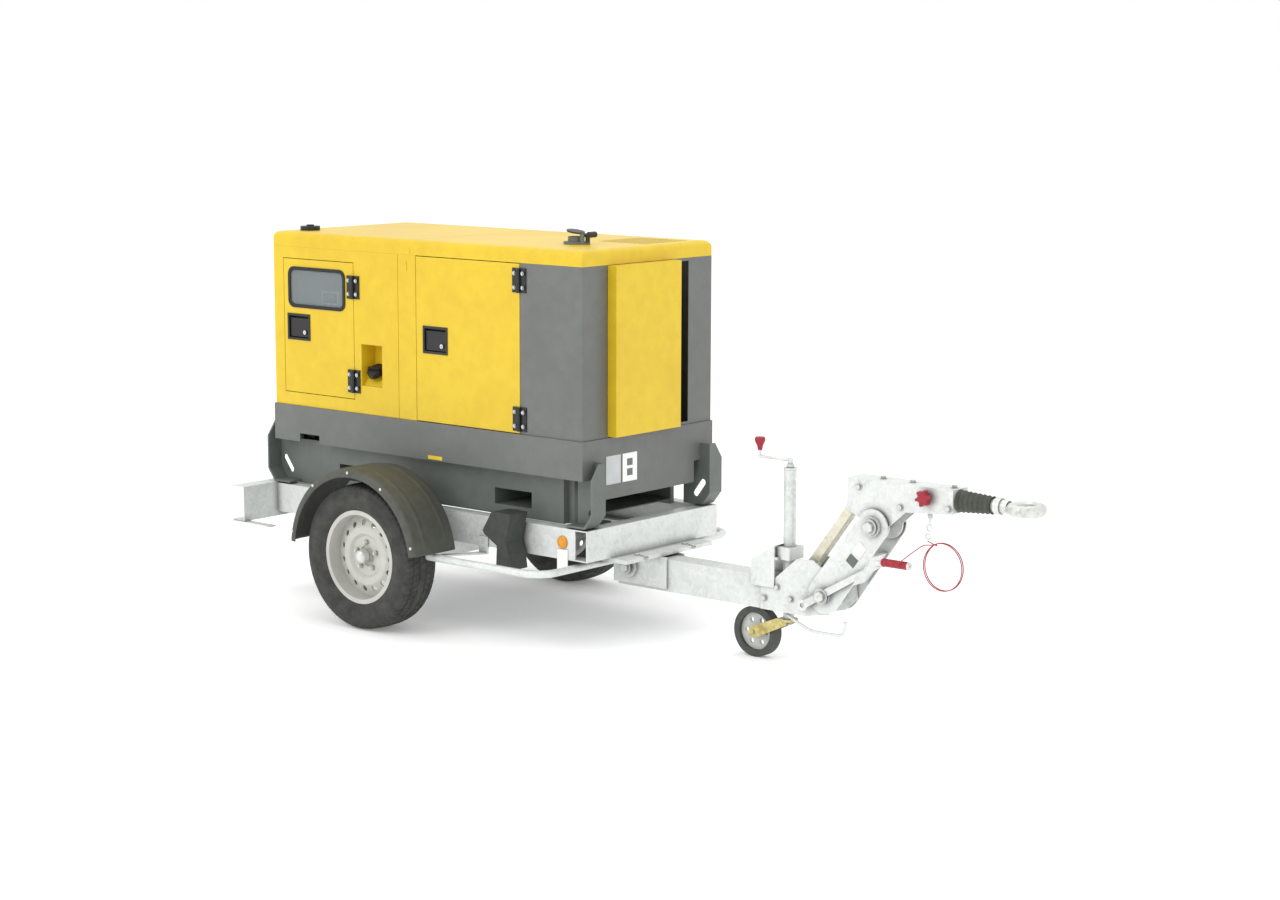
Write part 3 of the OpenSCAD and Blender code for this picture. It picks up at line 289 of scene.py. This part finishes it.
def zinc_skin(name, light_code, mid_code, dark_code, metallic):
    """Hot-dip zinc: flat crystals about 14 mm across, each with its own tone and gloss, over soft runs."""
    material, tree, shader = blank(name)
    place = add(tree, "ShaderNodeTexCoord")
    warp = add(tree, "ShaderNodeTexNoise", {"Vector": (place, "Object"), "Scale": 40.0, "Detail": 2.0})
    bent = add(tree, "ShaderNodeVectorMath", {0: (warp, "Color"), 1: (0.012, 0.012, 0.012)},
               operation="MULTIPLY")
    moved = add(tree, "ShaderNodeVectorMath", {0: (place, "Object"), 1: (bent, "Vector")}, operation="ADD")
    crystal = add(tree, "ShaderNodeTexVoronoi", {"Vector": (moved, "Vector"), "Scale": 70.0})
    one = add(tree, "ShaderNodeSeparateColor", {"Color": (crystal, "Color")})
    runs = add(tree, "ShaderNodeTexNoise", {"Vector": (place, "Object"), "Scale": 9.0, "Detail": 5.0})
    mixed = add(tree, "ShaderNodeMath", {0: (one, "Red"), 1: 0.45}, operation="MULTIPLY")
    total = add(tree, "ShaderNodeMath", {0: (mixed, "Value"), 1: (runs, "Fac")}, operation="ADD")
    tone = add(tree, "ShaderNodeValToRGB", {"Fac": (total, "Value")})
    tone.color_ramp.elements[0].color, tone.color_ramp.elements[0].position = linear(dark_code), 0.35
    tone.color_ramp.elements[1].color, tone.color_ramp.elements[1].position = linear(light_code), 0.98
    middle_tone = tone.color_ramp.elements.new(0.62)
    middle_tone.color = linear(mid_code)
    shine = add(tree, "ShaderNodeMapRange", {"Value": (one, "Green"), "To Min": 0.36, "To Max": 0.56})
    bump = add(tree, "ShaderNodeBump", {"Height": (runs, "Fac"), "Strength": 0.3, "Distance": 0.0015})
    # Painted shade: the colour is darkened within 35 mm of an inside corner, where faces meet and shade falls
    painted_corner_shade = add(tree, "ShaderNodeAmbientOcclusion", {"Color": (tone, "Color"), "Distance": 0.035},
                  samples=6)
    tree.links.new(painted_corner_shade.outputs["Color"], shader.inputs["Base Color"])
    tree.links.new(shine.outputs["Result"], shader.inputs["Roughness"])
    tree.links.new(bump.outputs["Normal"], shader.inputs["Normal"])
    shader.inputs["Metallic"].default_value = metallic
    return material


galvanised = zinc_skin("hot_dip_galvanised_steel", "#dfe2e0", "#d6dad8", "#c9cecb", 0.3)
passivated = zinc_skin("yellow_passivated_steel", "#d8cb93", "#c6b877", "#a89a5f", 0.6)
plated = zinc_skin("bright_zinc_plated_steel", "#dcdeda", "#cfd1cc", "#bbbdb7", 0.55)
for name in ("chassis_rails", "cross_members", "axle_tube", "drawbar_beam", "drawbar_clamp", "step_bars",
             "jockey_tube", "jockey_leg", "jockey_crank", "tow_link", "head", "handbrake_lever"):
    finish_with(nodes[name], galvanised)
finish_with(nodes["jockey_fork"], passivated)
clear_passivated = zinc_skin("clear_passivated_steel", "#e0ddcc", "#d3cfbc", "#bfbba6", 0.4)
finish_with(nodes["strut"], clear_passivated)
finish_with(nodes["towing_eye"], plated)


# ---- Plastic, rubber and glass ----
# Mudguards are thick moulded plastic, caps and paddles glossier black plastic, the gaiter and the window
# seal are rubber, and the window is smoke-tinted sheet.

guard_plastic = plastic("mudguard_polyethylene", "#4d4f47", "#43453e", 0.55)
black_plastic = plastic("black_nylon", "#1b1c1e", "#141516", 0.38)
red_plastic = plastic("red_moulded_plastic", "#a5182f", "#8c1326", 0.35)
black_rubber = plastic("black_moulded_rubber", "#1e1e1f", "#161617", 0.62)
for name in ("mudguard_right", "mudguard_left"):
    finish_with(nodes[name], guard_plastic)
for name in ("fuel_cap", "coolant_cap", "control_paddle", "service_paddle", "left_paddle", "battery",
             "fuel_tank", "fan"):
    finish_with(nodes[name], black_plastic)
for name in ("stop_button", "crank_grip", "lock_knob"):
    finish_with(nodes[name], red_plastic)
finish_with(nodes["window_gasket"], black_rubber)
chock_plastic = plastic("grey_chock_polyethylene", "#383d38", "#2f342f", 0.55)
finish_with(nodes["wheel_chock"], chock_plastic)
gaiter_rubber = plastic("weathered_gaiter_rubber", "#4a4e44", "#3d4138", 0.6)
finish_with(nodes["bellows"], gaiter_rubber)

glazing, glazing_tree, glazing_shader = blank("smoked_glazing")
glazing_place = add(glazing_tree, "ShaderNodeTexCoord")
glazing_film = add(glazing_tree, "ShaderNodeTexNoise", {"Vector": (glazing_place, "Object"), "Scale": 9.0})
glazing_shine = add(glazing_tree, "ShaderNodeMapRange", {"Value": (glazing_film, "Fac"), "To Min": 0.04,
                                                          "To Max": 0.12})
glazing_tree.links.new(glazing_shine.outputs["Result"], glazing_shader.inputs["Roughness"])
glazing_shader.inputs["Base Color"].default_value = linear("#8d9596")
glazing_shader.inputs["Alpha"].default_value = 0.5
finish_with(nodes["window_glass"], glazing)

casting = powder_coat("painted_casting", "#3a3d40", "#2f3234", 0.55)
blue_casting = powder_coat("blue_grey_casting_paint", "#4c5a66", "#414d57", 0.5)
finish_with(nodes["engine"], casting)
finish_with(nodes["alternator"], blue_casting)
lens_plastic = plastic("orange_lens_plastic", "#e0601c", "#c84f14", 0.2)
finish_with(nodes["road_lamps"], lens_plastic)
wheel_paint = powder_coat("silver_wheel_paint", "#c6c6c0", "#b9b9b2", 0.38)
finish_with(nodes["rim_right"], wheel_paint)
finish_with(nodes["rim_left"], wheel_paint)
finish_with(nodes["tyre_right"], black_rubber)
finish_with(nodes["tyre_left"], black_rubber)


# ---- Road tyres ----
# Radial tyres of vulcanised rubber: a smooth bulging sidewall with moulded rings, a rounded shoulder, and
# a tread of five ribs cut by sipes. Each replaces the plain solid on its rim.

axle_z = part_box("tyre_right")[1].z / 2
axle_x = (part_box("tyre_right")[0].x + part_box("tyre_right")[1].x) / 2
track_y = -(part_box("tyre_right")[0].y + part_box("tyre_right")[1].y) / 2


def turned(profile, centre, axis, sides, closed=False, shape=None):
    """Points and faces of a surface of revolution: each (radius, height) of the profile, swept round the
    axis through centre. shape(radius, height, angle), if given, returns each grid point's own radius."""
    profile = np.asarray(profile, float)
    axis = np.asarray(axis, float) / np.linalg.norm(axis)
    side = np.cross(axis, np.eye(3)[np.argmin(np.abs(axis))])
    side /= np.linalg.norm(side)
    other = np.cross(axis, side)
    angle = np.arange(sides) * 2 * np.pi / sides
    radius = np.broadcast_to(profile[:, 0, None], (len(profile), sides))
    if shape:
        radius = shape(radius, profile[:, 1, None], angle[None, :])
    points = (np.asarray(centre) + profile[:, 1, None, None] * axis + radius[..., None] * (
        np.cos(angle)[None, :, None] * side + np.sin(angle)[None, :, None] * other))
    rows = len(profile) if closed else len(profile) - 1
    i, k = np.meshgrid(np.arange(rows), np.arange(sides), indexing="ij")
    low, high = i * sides, (i + 1) % len(profile) * sides
    faces = np.stack([low + k, low + (k + 1) % sides, high + (k + 1) % sides, high + k], -1).reshape(-1, 4)
    return points, faces.tolist()


def lathe(name, profile, centre, axis, sides=64, closed=False, shape=None):
    """A turned piece of its own, welded shut."""
    piece = mesh_piece(name, *turned(profile, centre, axis, sides, closed, shape))
    weld(piece)
    return piece


def weld(piece):
    """Merges points that lie together, drops faces with no area, and turns every face outwards."""
    mesh = bmesh.new()
    mesh.from_mesh(piece.data)
    bmesh.ops.remove_doubles(mesh, verts=mesh.verts, dist=1e-6)
    bmesh.ops.dissolve_degenerate(mesh, edges=mesh.edges, dist=1e-7)
    bmesh.ops.holes_fill(mesh, edges=mesh.edges, sides=0)
    bmesh.ops.recalc_face_normals(mesh, faces=mesh.faces)
    mesh.to_mesh(piece.data)
    mesh.free()


def tread_cut(radius, across, angle):
    """The tyre's radius with the tread taken out: four grooves round it, each 7 mm wide, that sway 1.5 mm,
    and slanting sipes 4 mm wide, one every 5 degrees, in all but the middle rib."""
    on_tread = np.clip((0.0795 - np.abs(across)) / 0.001, 0, 1) * (radius > 0.280)
    sway = 0.0015 * np.sin(36 * angle)
    lines = [np.clip((0.0038 - np.abs(across - y - sway)) / 0.0012, 0, 1)
             for y in (-0.052, -0.019, 0.019, 0.052)]
    slant = np.abs((72 * angle / (2 * np.pi) + across * 14 * np.sign(across)) % 1 - 0.5)
    sipe = np.clip((slant - 0.41) / 0.03, 0, 1) * (np.abs(across) > 0.019)
    cut = np.maximum(np.max(np.stack(np.broadcast_arrays(*lines)), axis=0) * 0.007, sipe * 0.0045)
    return radius - cut * on_tread


# Half of the section, from the bead round the sidewall to the crown: (radius, distance from the middle)
half_section = np.array([[0.186, 0.060], [0.192, 0.071], [0.200, 0.077], [0.212, 0.086], [0.228, 0.0915],
                         [0.244, 0.0925], [0.258, 0.0905], [0.270, 0.0865], [0.280, 0.0825], [0.2868, 0.0785],
                         [0.2915, 0.0725], [0.2942, 0.062]])
side_line = smooth_route(np.column_stack([half_section, np.zeros(len(half_section))]), 4)[:, :2]
rings = (np.abs(side_line[:, 0] - 0.214) < 0.0028) | (np.abs(side_line[:, 0] - 0.262) < 0.0022)
side_line[rings, 1] += 0.0012
crown = np.linspace(0.061, -0.061, 76)
crown_line = np.column_stack([0.298 - 0.0036 * (crown / 0.062) ** 2, crown])
inside = np.array([[0.190, -0.045], [0.215, -0.066], [0.262, -0.070], [0.276, -0.055], [0.282, 0.0],
                   [0.276, 0.055], [0.262, 0.070], [0.215, 0.066], [0.190, 0.045]])
section = np.vstack([side_line, crown_line, side_line[::-1] * [1, -1], inside])

tyre_rubber, tyre_tree, tyre_shader = blank("vulcanised_tyre_rubber")
tyre_place = add(tyre_tree, "ShaderNodeTexCoord")
tyre_dust = add(tyre_tree, "ShaderNodeTexNoise", {"Vector": (tyre_place, "Object"), "Scale": 22.0,
                                                  "Detail": 6.0, "Roughness": 0.65})
tyre_tone = add(tyre_tree, "ShaderNodeValToRGB", {"Fac": (tyre_dust, "Fac")})
tyre_tone.color_ramp.elements[0].color, tyre_tone.color_ramp.elements[0].position = linear("#2c2d2a"), 0.35
tyre_tone.color_ramp.elements[1].color, tyre_tone.color_ramp.elements[1].position = linear("#474843"), 0.75
tyre_grain = add(tyre_tree, "ShaderNodeTexNoise", {"Vector": (tyre_place, "Object"), "Scale": 420.0})
tyre_bump = add(tyre_tree, "ShaderNodeBump", {"Height": (tyre_grain, "Fac"), "Strength": 0.3,
                                              "Distance": 0.0005})
tyre_tree.links.new(tyre_tone.outputs["Color"], tyre_shader.inputs["Base Color"])
tyre_tree.links.new(tyre_bump.outputs["Normal"], tyre_shader.inputs["Normal"])
tyre_shader.inputs["Roughness"].default_value = 0.78

for side, sign in (("right", -1), ("left", 1)):
    tyre = lathe(f"tyre_tread_{side}", section, (axle_x, sign * track_y, axle_z), (0, sign, 0), 540,
                 closed=True, shape=tread_cut)
    finish_with(tyre, tyre_rubber)
    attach(tyre, f"{side}_wheel")
    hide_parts(f"tyre_{side}")


# ---- Wheel fittings ----
# Five zinc-plated cone nuts, a pressed grease cap on the hub, and a rubber valve with its dust cap.

nut = [[0, 0.0], [0.0105, 0.0], [0.0105, 0.009], [0.0085, 0.013], [0.006, 0.0145], [0.006, 0.018],
       [0.005, 0.019], [0, 0.019]]
grease_cap = [[0, 0.0], [0.031, 0.0], [0.031, 0.006], [0.0285, 0.008], [0.0285, 0.022], [0.027, 0.028],
              [0.022, 0.033], [0.012, 0.0362], [0, 0.037]]
valve = [[0, 0], [0.0055, 0], [0.0055, 0.012], [0.0035, 0.016], [0.0035, 0.028], [0.0042, 0.029],
         [0.0042, 0.037], [0.003, 0.0385], [0, 0.0385]]
for side, sign in (("right", -1), ("left", 1)):
    hub = np.array([axle_x, sign * track_y, axle_z])
    out = np.array([0, sign, 0])
    fittings = [("hub_cap", grease_cap, hub + 0.036 * out, plated, 48)]
    for k in range(5):
        a = math.radians(72 * k + 18)
        spot = hub + 0.022 * out + 0.056 * np.array([math.cos(a), 0, math.sin(a)])
        fittings.append((f"wheel_nut_{k + 1}", nut, spot, plated, 6))
    a = math.radians(52)
    fittings.append(("tyre_valve", valve, hub + 0.012 * out + 0.165 * np.array([math.cos(a), 0, math.sin(a)]),
                     black_rubber, 16))
    for name, outline, spot, material, count in fittings:
        fitting = lathe(f"{name}_{side}", outline, spot, out, count)
        finish_with(fitting, material)
        if count == 6:
            fitting.data.polygons.foreach_set("use_smooth", [False] * len(fitting.data.polygons))
        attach(fitting, f"{side}_wheel")


# ---- Lamps and reflectors ----
# Each rail carries an amber reflector over a white marker plate. The tail lamps sit inside the rear
# channel: a black housing and a moulded red lens.

def block(low, high, radius, steps=3):
    """Points and faces of a box with rounded edges: a cube's grid, each point pulled onto the ball of
    that radius which rolls along inside the edges."""
    low, high = np.asarray(low, float), np.asarray(high, float)
    middle_point, half = (low + high) / 2, np.abs(high - low) / 2
    points, faces = [], []
    for axis in range(3):
        a, b = (axis + 1) % 3, (axis + 2) % 3
        lines = [np.concatenate([np.linspace(-half[k], radius - half[k], steps + 1),
                                 np.linspace(half[k] - radius, half[k], steps + 1)]) for k in (a, b)]
        for end in (-1, 1):
            grid = np.zeros((2 * steps + 2, 2 * steps + 2, 3))
            grid[..., axis] = end * half[axis]
            grid[..., a], grid[..., b] = np.meshgrid(lines[0], lines[1], indexing="ij")
            core = np.clip(grid, radius - half, half - radius)
            away = grid - core
            grid = core + radius * away / np.linalg.norm(away, axis=2, keepdims=True)
            n = 2 * steps + 2
            i, k = np.meshgrid(np.arange(n - 1), np.arange(n - 1), indexing="ij")
            start = len(points) * n * n + i * n + k
            loop = [start, start + n, start + n + 1, start + 1]
            faces.append(np.stack(loop if end > 0 else loop[::-1], -1).reshape(-1, 4))
            points.append(grid.reshape(-1, 3) + middle_point)
    return np.vstack(points), np.vstack(faces).tolist()


def joined(name, parts, material, body, smooth=False):
    """One piece made of several (points, faces) parts, in one material, riding on a body."""
    points, faces, count = [], [], 0
    for part_points, part_faces in parts:
        points.append(np.asarray(part_points).reshape(-1, 3))
        faces += [[v + count for v in face] for face in part_faces]
        count += len(points[-1])
    piece = mesh_piece(name, np.vstack(points), faces, smooth)
    weld(piece)
    finish_with(piece, material)
    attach(piece, body)
    return piece


amber = plastic("amber_reflector_acrylic", "#e39a1c", "#d0850f", 0.15)
white_sheet = powder_coat("white_marker_film", "#f4f4f1", "#ebebe7", 0.45)
red_lens = plastic("red_lens_acrylic", "#a81a16", "#8f120f", 0.14)
rail_face = -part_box("chassis_rails")[0].y * 1000
for side, sign in (("right", -1), ("left", 1)):
    out = np.array([0, sign, 0])
    reflector = lathe(f"side_reflector_{side}", [[0, 0], [0.025, 0], [0.025, 0.003], [0.0235, 0.005],
                                                 [0.0222, 0.0062], [0.012, 0.0068], [0, 0.007]],
                      at(775, sign * (rail_face + 0.3), 427), out, 48)
    finish_with(reflector, amber)
    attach(reflector, "chassis")
    if side == "right":
        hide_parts("road_lamps")
    y = np.sort([sign * (rail_face + 0.3), sign * (rail_face + 3.5)])
    joined(f"marker_plate_{side}", [block(at(748, y[0], 315), at(803, y[1], 399), 0.0012)], white_sheet,
           "chassis")
    y = np.sort([sign * 366, sign * 504])
    joined(f"lamp_housing_{side}", [block(at(-895, y[0], 352), at(-871, y[1], 476), 0.004)], black_plastic,
           "chassis")
    joined(f"lamp_lens_{side}", [block(at(-934, y[0] + 3, 355), at(-895.2, y[1] - 3, 473), 0.009)], red_lens,
           "chassis", smooth=True)


# ---- Mudguards ----
# Thick moulded polyethylene bent over each wheel: a slightly crowned top with two pressed ribs, a rolled
# outer edge that turns down 40 mm, and two flat steel stays back to the rail.

guard_top = 0.370


def guard_section(sign):
    """The section across a guard as (radius, distance out) pairs round its 4 mm wall: a low crown, two
    cosine ribs 30 mm wide, and a quarter-round corner of 16 mm down to the lip."""
    out = np.linspace(0.496, 0.714, 45)
    crown_fall = 0.006 * ((out - 0.605) / 0.115) ** 2
    ribs = sum(0.0022 * (1 + np.cos(np.clip((out - y) / 0.015, -1, 1) * np.pi)) / 2 for y in (0.545, 0.665))
    top = np.column_stack([guard_top - 0.0025 - crown_fall + ribs, out])
    turn_angle = np.linspace(0, np.pi / 2, 7)[1:]
    corner = top[-1] + np.column_stack([-0.016 * (1 - np.cos(turn_angle)), 0.016 * np.sin(turn_angle)])
    lip = np.array([[guard_top - 0.039, 0.730], [guard_top - 0.0395, 0.7285]])
    outside_line = np.vstack([top, corner, lip])
    slope = np.gradient(outside_line, axis=0)
    slope /= np.linalg.norm(slope, axis=1)[:, None]
    inner = outside_line[::-1] + 0.004 * np.column_stack([-slope[:, 1], slope[:, 0]])[::-1]
    inner[0] = [guard_top - 0.0395, 0.7265]
    return np.vstack([outside_line, inner]) * [1, sign]


for side, sign in (("right", -1), ("left", 1)):
    section_line = guard_section(sign)
    sweep_angle = np.radians(np.linspace(8, 175, 97))
    ring_points = np.stack([axle_x + section_line[None, :, 0] * np.cos(sweep_angle)[:, None],
                            np.broadcast_to(section_line[:, 1], (97, len(section_line))),
                            axle_z + section_line[None, :, 0] * np.sin(sweep_angle)[:, None]], -1)
    count = len(section_line)
    i, k = np.meshgrid(np.arange(96), np.arange(count), indexing="ij")
    walls = np.stack([i * count + k, i * count + (k + 1) % count, (i + 1) * count + (k + 1) % count,
                      (i + 1) * count + k], -1).reshape(-1, 4).tolist()
    ends = [list(range(count))[::-1], list(range(96 * count, 97 * count))]
    guard = mesh_piece(f"mudguard_shell_{side}", ring_points, walls + ends)
    weld(guard)
    finish_with(guard, guard_plastic)
    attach(guard, "chassis")
    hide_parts(f"mudguard_{side}")
    stays = []
    for x in (-170, 10):
        y = np.sort([sign * 408.5, sign * 494])
        stays.append(block(at(x - 20, y[0], 423), at(x + 20, y[1], 427), 0.0008))
        y = np.sort([sign * 490, sign * 494])
        stays.append(block(at(x - 20, y[0], 423), at(x + 20, y[1], 652), 0.0008))
    joined(f"mudguard_stays_{side}", stays, dark_coat, "chassis")
    rivets = [turned([[0, 0], [0.007, 0], [0.006, 0.0025], [0.003, 0.004], [0, 0.0042]],
                     (axle_x + 0.35 * math.cos(a), sign * 0.7302, axle_z + 0.35 * math.sin(a)),
                     (0, sign, 0), 14) for a in np.radians([14, 60, 92, 128, 168])]
    joined(f"mudguard_rivets_{side}", rivets, plated, "chassis", smooth=True)


# ---- Latches ----
# Each door's latch is a black moulded pan with a lift-up paddle; the key barrel is zinc die-cast and
# stands out of the paddle's corner.

barrel = [[0, 0], [0.0095, 0], [0.0095, 0.0022], [0.0085, 0.0034], [0.0032, 0.0034], [0.003, 0.0018],
          [0, 0.0018]]
for body, node, sign in (("control_latch", "control_paddle", -1), ("service_latch", "service_paddle", -1),
                         ("left_latch", "left_paddle", 1)):
    low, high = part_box(node)
    face_y = low.y if sign < 0 else high.y
    spot = np.array([high.x - 0.020, face_y, low.z + 0.020])
    key = lathe(f"{node}_key_barrel", barrel, spot, (0, sign, 0), 28)
    finish_with(key, plated)
    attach(key, body)


# ---- Bolts ----
# Zinc-plated hexagon bolts on round washers, one mesh for each group that is held by one piece.

def bolt(spot, axis, across, height):
    """Parts of one bolt: a washer 1.7 times the head's width, and a head with a chamfered top."""
    r = across / 2 / math.cos(math.pi / 6)
    up = np.asarray(axis, float)
    washer = turned([[0, 0], [0.85 * across, 0], [0.85 * across, 0.12 * height], [0, 0.12 * height]], spot,
                    up, 24)
    head = turned([[0, 0], [r, 0], [r, 0.8 * height], [0.86 * r, height], [0, height]],
                  np.asarray(spot) + 0.13 * height * up, up, 6)
    return [washer, head]


def bolts(name, spots, axis, across, height, body, material=None):
    """A group of like bolts as one piece."""
    parts = [part for spot in spots for part in bolt(spot, axis, across, height)]
    return joined(name, parts, material or plated, body)


for sign, side in ((-1, "right"), (1, "left")):
    bolts(f"link_front_bolt_{side}", [at(1999, sign * 87, 589)], (0, sign, 0), 0.036, 0.016, "coupling_head")
    bolts(f"link_rear_bolt_{side}", [at(1784, sign * 89, 299)], (0, sign, 0), 0.036, 0.016, "chassis")
    bolts(f"clamp_bolt_{side}", [at(823, sign * 84.5, 284)], (0, sign, 0), 0.032, 0.014, "chassis")
    bolts(f"cheek_bolts_{side}", [at(x, sign * 58.2, z) for x, z in ((1500, 250), (1560, 300), (1625, 262))],
          (0, sign, 0), 0.017, 0.009, "chassis")
    bolts(f"head_bolts_{side}", [at(x, sign * 50.2, z) for x, z in ((1925, 728), (2110, 672), (2318, 690))],
          (0, sign, 0), 0.017, 0.009, "coupling_head")
bolts("head_top_bolts", [at(x, 0, 760.1) for x in (2000, 2130, 2310)], (0, 0, 1), 0.017, 0.010,
      "coupling_head")
bolts("clamp_top_bolts", [at(x, y, 351.2) for x in (940, 975) for y in (-150, 150)], (0, 0, 1), 0.022, 0.012,
      "chassis")

# The doors' hinges: two to a door, each with two bolts in its leaf and two in its frame half
pin_to_bolt = 22
for door, body, sign in (("service", "service_door_leaf", -1), ("left", "left_door_leaf", 1)):
    for set_name, shift, rides in (("leaf", -pin_to_bolt, body), ("frame", pin_to_bolt, "chassis")):
        spots = [at(546.5 + shift, sign * 409.5, z + dz) for z in (842, 1389) for dz in (20, 76)]
        bolts(f"{door}_hinge_{set_name}_bolts", spots, (0, sign, 0), 0.010, 0.004, rides,
              plated)
for set_name, shift, rides in (("leaf", -pin_to_bolt, "control_door_leaf"),
                               ("frame", pin_to_bolt, "chassis")):
    spots = [at(-386.5 + shift, -409.5, z + dz) for z in (914, 1306) for dz in (20, 76)]
    bolts(f"control_hinge_{set_name}_bolts", spots, (0, -1, 0), 0.010, 0.004, rides, plated)


# ---- Jockey wheel ----
# A solid rubber tyre is bonded round a pressed steel disc that is painted light grey; the wheel is one
# solid, and the two materials meet at 74 mm from the axle.

jockey_low, jockey_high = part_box("jockey_wheel")
hub_x, hub_z = (jockey_low.x + jockey_high.x) / 2, (jockey_low.z + jockey_high.z) / 2
wheel_skin, wheel_tree, wheel_shader = blank("solid_tyre_on_grey_disc")
wheel_place = add(wheel_tree, "ShaderNodeTexCoord")
from_hub = add(wheel_tree, "ShaderNodeVectorMath", {0: (wheel_place, "Object"), 1: (hub_x, 0.0, hub_z)},
               operation="SUBTRACT")
flat = add(wheel_tree, "ShaderNodeVectorMath", {0: (from_hub, "Vector"), 1: (1.0, 0.0, 1.0)},
           operation="MULTIPLY")
reach = add(wheel_tree, "ShaderNodeVectorMath", {0: (flat, "Vector")}, operation="LENGTH")
is_tyre = add(wheel_tree, "ShaderNodeMath", {0: (reach, "Value"), 1: 0.0735}, operation="GREATER_THAN")
scuffs = add(wheel_tree, "ShaderNodeTexNoise", {"Vector": (wheel_place, "Object"), "Scale": 45.0,
                                                "Detail": 5.0})
rubber_tone = add(wheel_tree, "ShaderNodeValToRGB", {"Fac": (scuffs, "Fac")})
rubber_tone.color_ramp.elements[0].color = linear("#343633")
rubber_tone.color_ramp.elements[1].color = linear("#565852")
disc_tone = add(wheel_tree, "ShaderNodeValToRGB", {"Fac": (scuffs, "Fac")})
disc_tone.color_ramp.elements[0].color = linear("#a9aca6")
disc_tone.color_ramp.elements[1].color = linear("#c9ccc6")
both_tones = add(wheel_tree, "ShaderNodeMixRGB", {"Fac": (is_tyre, "Value"), "Color1": (disc_tone, "Color"),
                                                  "Color2": (rubber_tone, "Color")})
wheel_tree.links.new(both_tones.outputs["Color"], wheel_shader.inputs["Base Color"])
wheel_gloss = add(wheel_tree, "ShaderNodeMapRange", {"Value": (is_tyre, "Value"), "To Min": 0.42,
                                                     "To Max": 0.75})
wheel_tree.links.new(wheel_gloss.outputs["Result"], wheel_shader.inputs["Roughness"])
finish_with(nodes["jockey_wheel"], wheel_skin)


# ---- Handbrake grip ----
# A ribbed red vinyl sleeve pushed over the lever's end, with a rounded tip and a flange at its root.

sleeve_x = np.linspace(0, 0.120, 121)
ribs_wave = 0.0012 * np.clip(np.sin(np.clip((sleeve_x - 0.018) / 0.090, 0, 1) * np.pi * 18), 0, 1)
flange = 0.0028 * np.exp(-((sleeve_x - 0.006) / 0.0035) ** 2)
tip = np.clip((sleeve_x - 0.108) / 0.012, 0, 1)
sleeve = np.column_stack([(0.0146 + ribs_wave + flange) * np.sqrt(1 - 0.98 * tip ** 2), sleeve_x + 0.0002])
grip = lathe("handbrake_sleeve", np.vstack([[0, 0.0002], sleeve, [0, 0.1202]]), at(2066, -94, 468),
             (1, 0, 0), 48)
finish_with(grip, red_plastic)
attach(grip, "handbrake")


# ---- Strap under the drawbar ----
# A bent round bar of galvanised steel, in place of a flat bracket with a hoop. Nothing carries it: its rear
# end stops 4 mm short of the beam and its front end hangs free.

strap_line = smooth_route(np.array([at(1598, -45, 196), at(1650, -45, 172), at(1712, -45, 150),
                                    at(1780, -45, 148), at(1850, -45, 152), at(1866, -45, 172),
                                    at(1868, -45, 206)]), 8)
strap = tube_along("brake_rod_strap", strap_line, 0.0065, 16)
finish_with(strap, galvanised)
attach(strap, "chassis")


# ---- Plates and instruments ----
# Two blank rating plates are stuck to the front of the base, and a blank label to each of its sides.
# Behind the window, a light bezel holds the control unit's dark display and its keys.

display_dark = plastic("display_window", "#26302c", "#1c2421", 0.12)
bezel_grey = plastic("light_grey_abs", "#c9cccb", "#b9bcbb", 0.4)
base_front = (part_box("base_frame")[1].x - canopy_x) * 1000
plate_tin = powder_coat("plain_aluminium_plate", "#c3c7c8", "#b5b9ba", 0.4)
for name, y0, material in (("rating_plate_tin", -266, plate_tin), ("rating_plate_white", -166, white_sheet)):
    joined(name, [block(at(base_front + 0.2, y0, 645), at(base_front + 1.6, y0 + 88, 758), 0.0005)], material,
           "chassis")
joined("rating_plate_squares", [block(at(base_front + 1.7, -140, z), at(base_front + 2.1, -106, z + 28),
                                      0.0001) for z in (668, 708)], dark_coat, "chassis")

yellow_film = powder_coat("yellow_label_film", "#e8c822", "#dfbf1e", 0.5)
base_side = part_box("base_frame")[0].y * 1000
joined("lifting_label", [block(at(43, base_side - 0.9, 681), at(122, base_side - 0.1, 696), 0.0003)],
       yellow_film, "chassis")
joined("lifting_label_left", [block(at(43, -base_side + 0.1, 681), at(122, -base_side + 0.9, 696), 0.0003)],
       yellow_film, "chassis")

# Two blank plates are stuck on the tow link's side, square to the link
link_turn = math.atan2(589 - 299, 1999 - 1784)
link_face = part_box("tow_link")[0].y * 1000
for name, along_link, half_width, material in (("link_plate_front", 252, 24, white_sheet),
                                               ("link_plate_rear", 196, 19, dark_coat)):
    plate_points, plate_faces = block((-half_width / 1000, link_face / 1000 - 0.0012, -0.021),
                                      (half_width / 1000, link_face / 1000 - 0.0002, 0.021), 0.0004)
    shift_x = along_link / 1000
    across_x, across_z = plate_points[:, 0] + shift_x, plate_points[:, 2] - 0.012
    turned_points = np.column_stack([across_x * math.cos(link_turn) - across_z * math.sin(link_turn),
                                     plate_points[:, 1],
                                     across_x * math.sin(link_turn) + across_z * math.cos(link_turn)])
    turned_points += at(1784, 0, 299)
    joined(name, [(turned_points, plate_faces)], material, "link")

panel_front = (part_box("control_panel")[0].y) * 1000
joined("control_unit_bezel", [block(at(-615, panel_front - 8, 1252), at(-507, panel_front - 1, 1326), 0.003)],
       bezel_grey, "chassis")
joined("control_unit_display", [block(at(-600, panel_front - 10, 1275), at(-522, panel_front - 8.2, 1316),
                                      0.0008)], display_dark, "chassis")
joined("control_unit_keys", [block(at(-600 + 18 * k, panel_front - 10.5, 1257),
                                   at(-589 + 18 * k, panel_front - 8.2, 1268), 0.0008) for k in range(5)],
       black_plastic, "chassis")
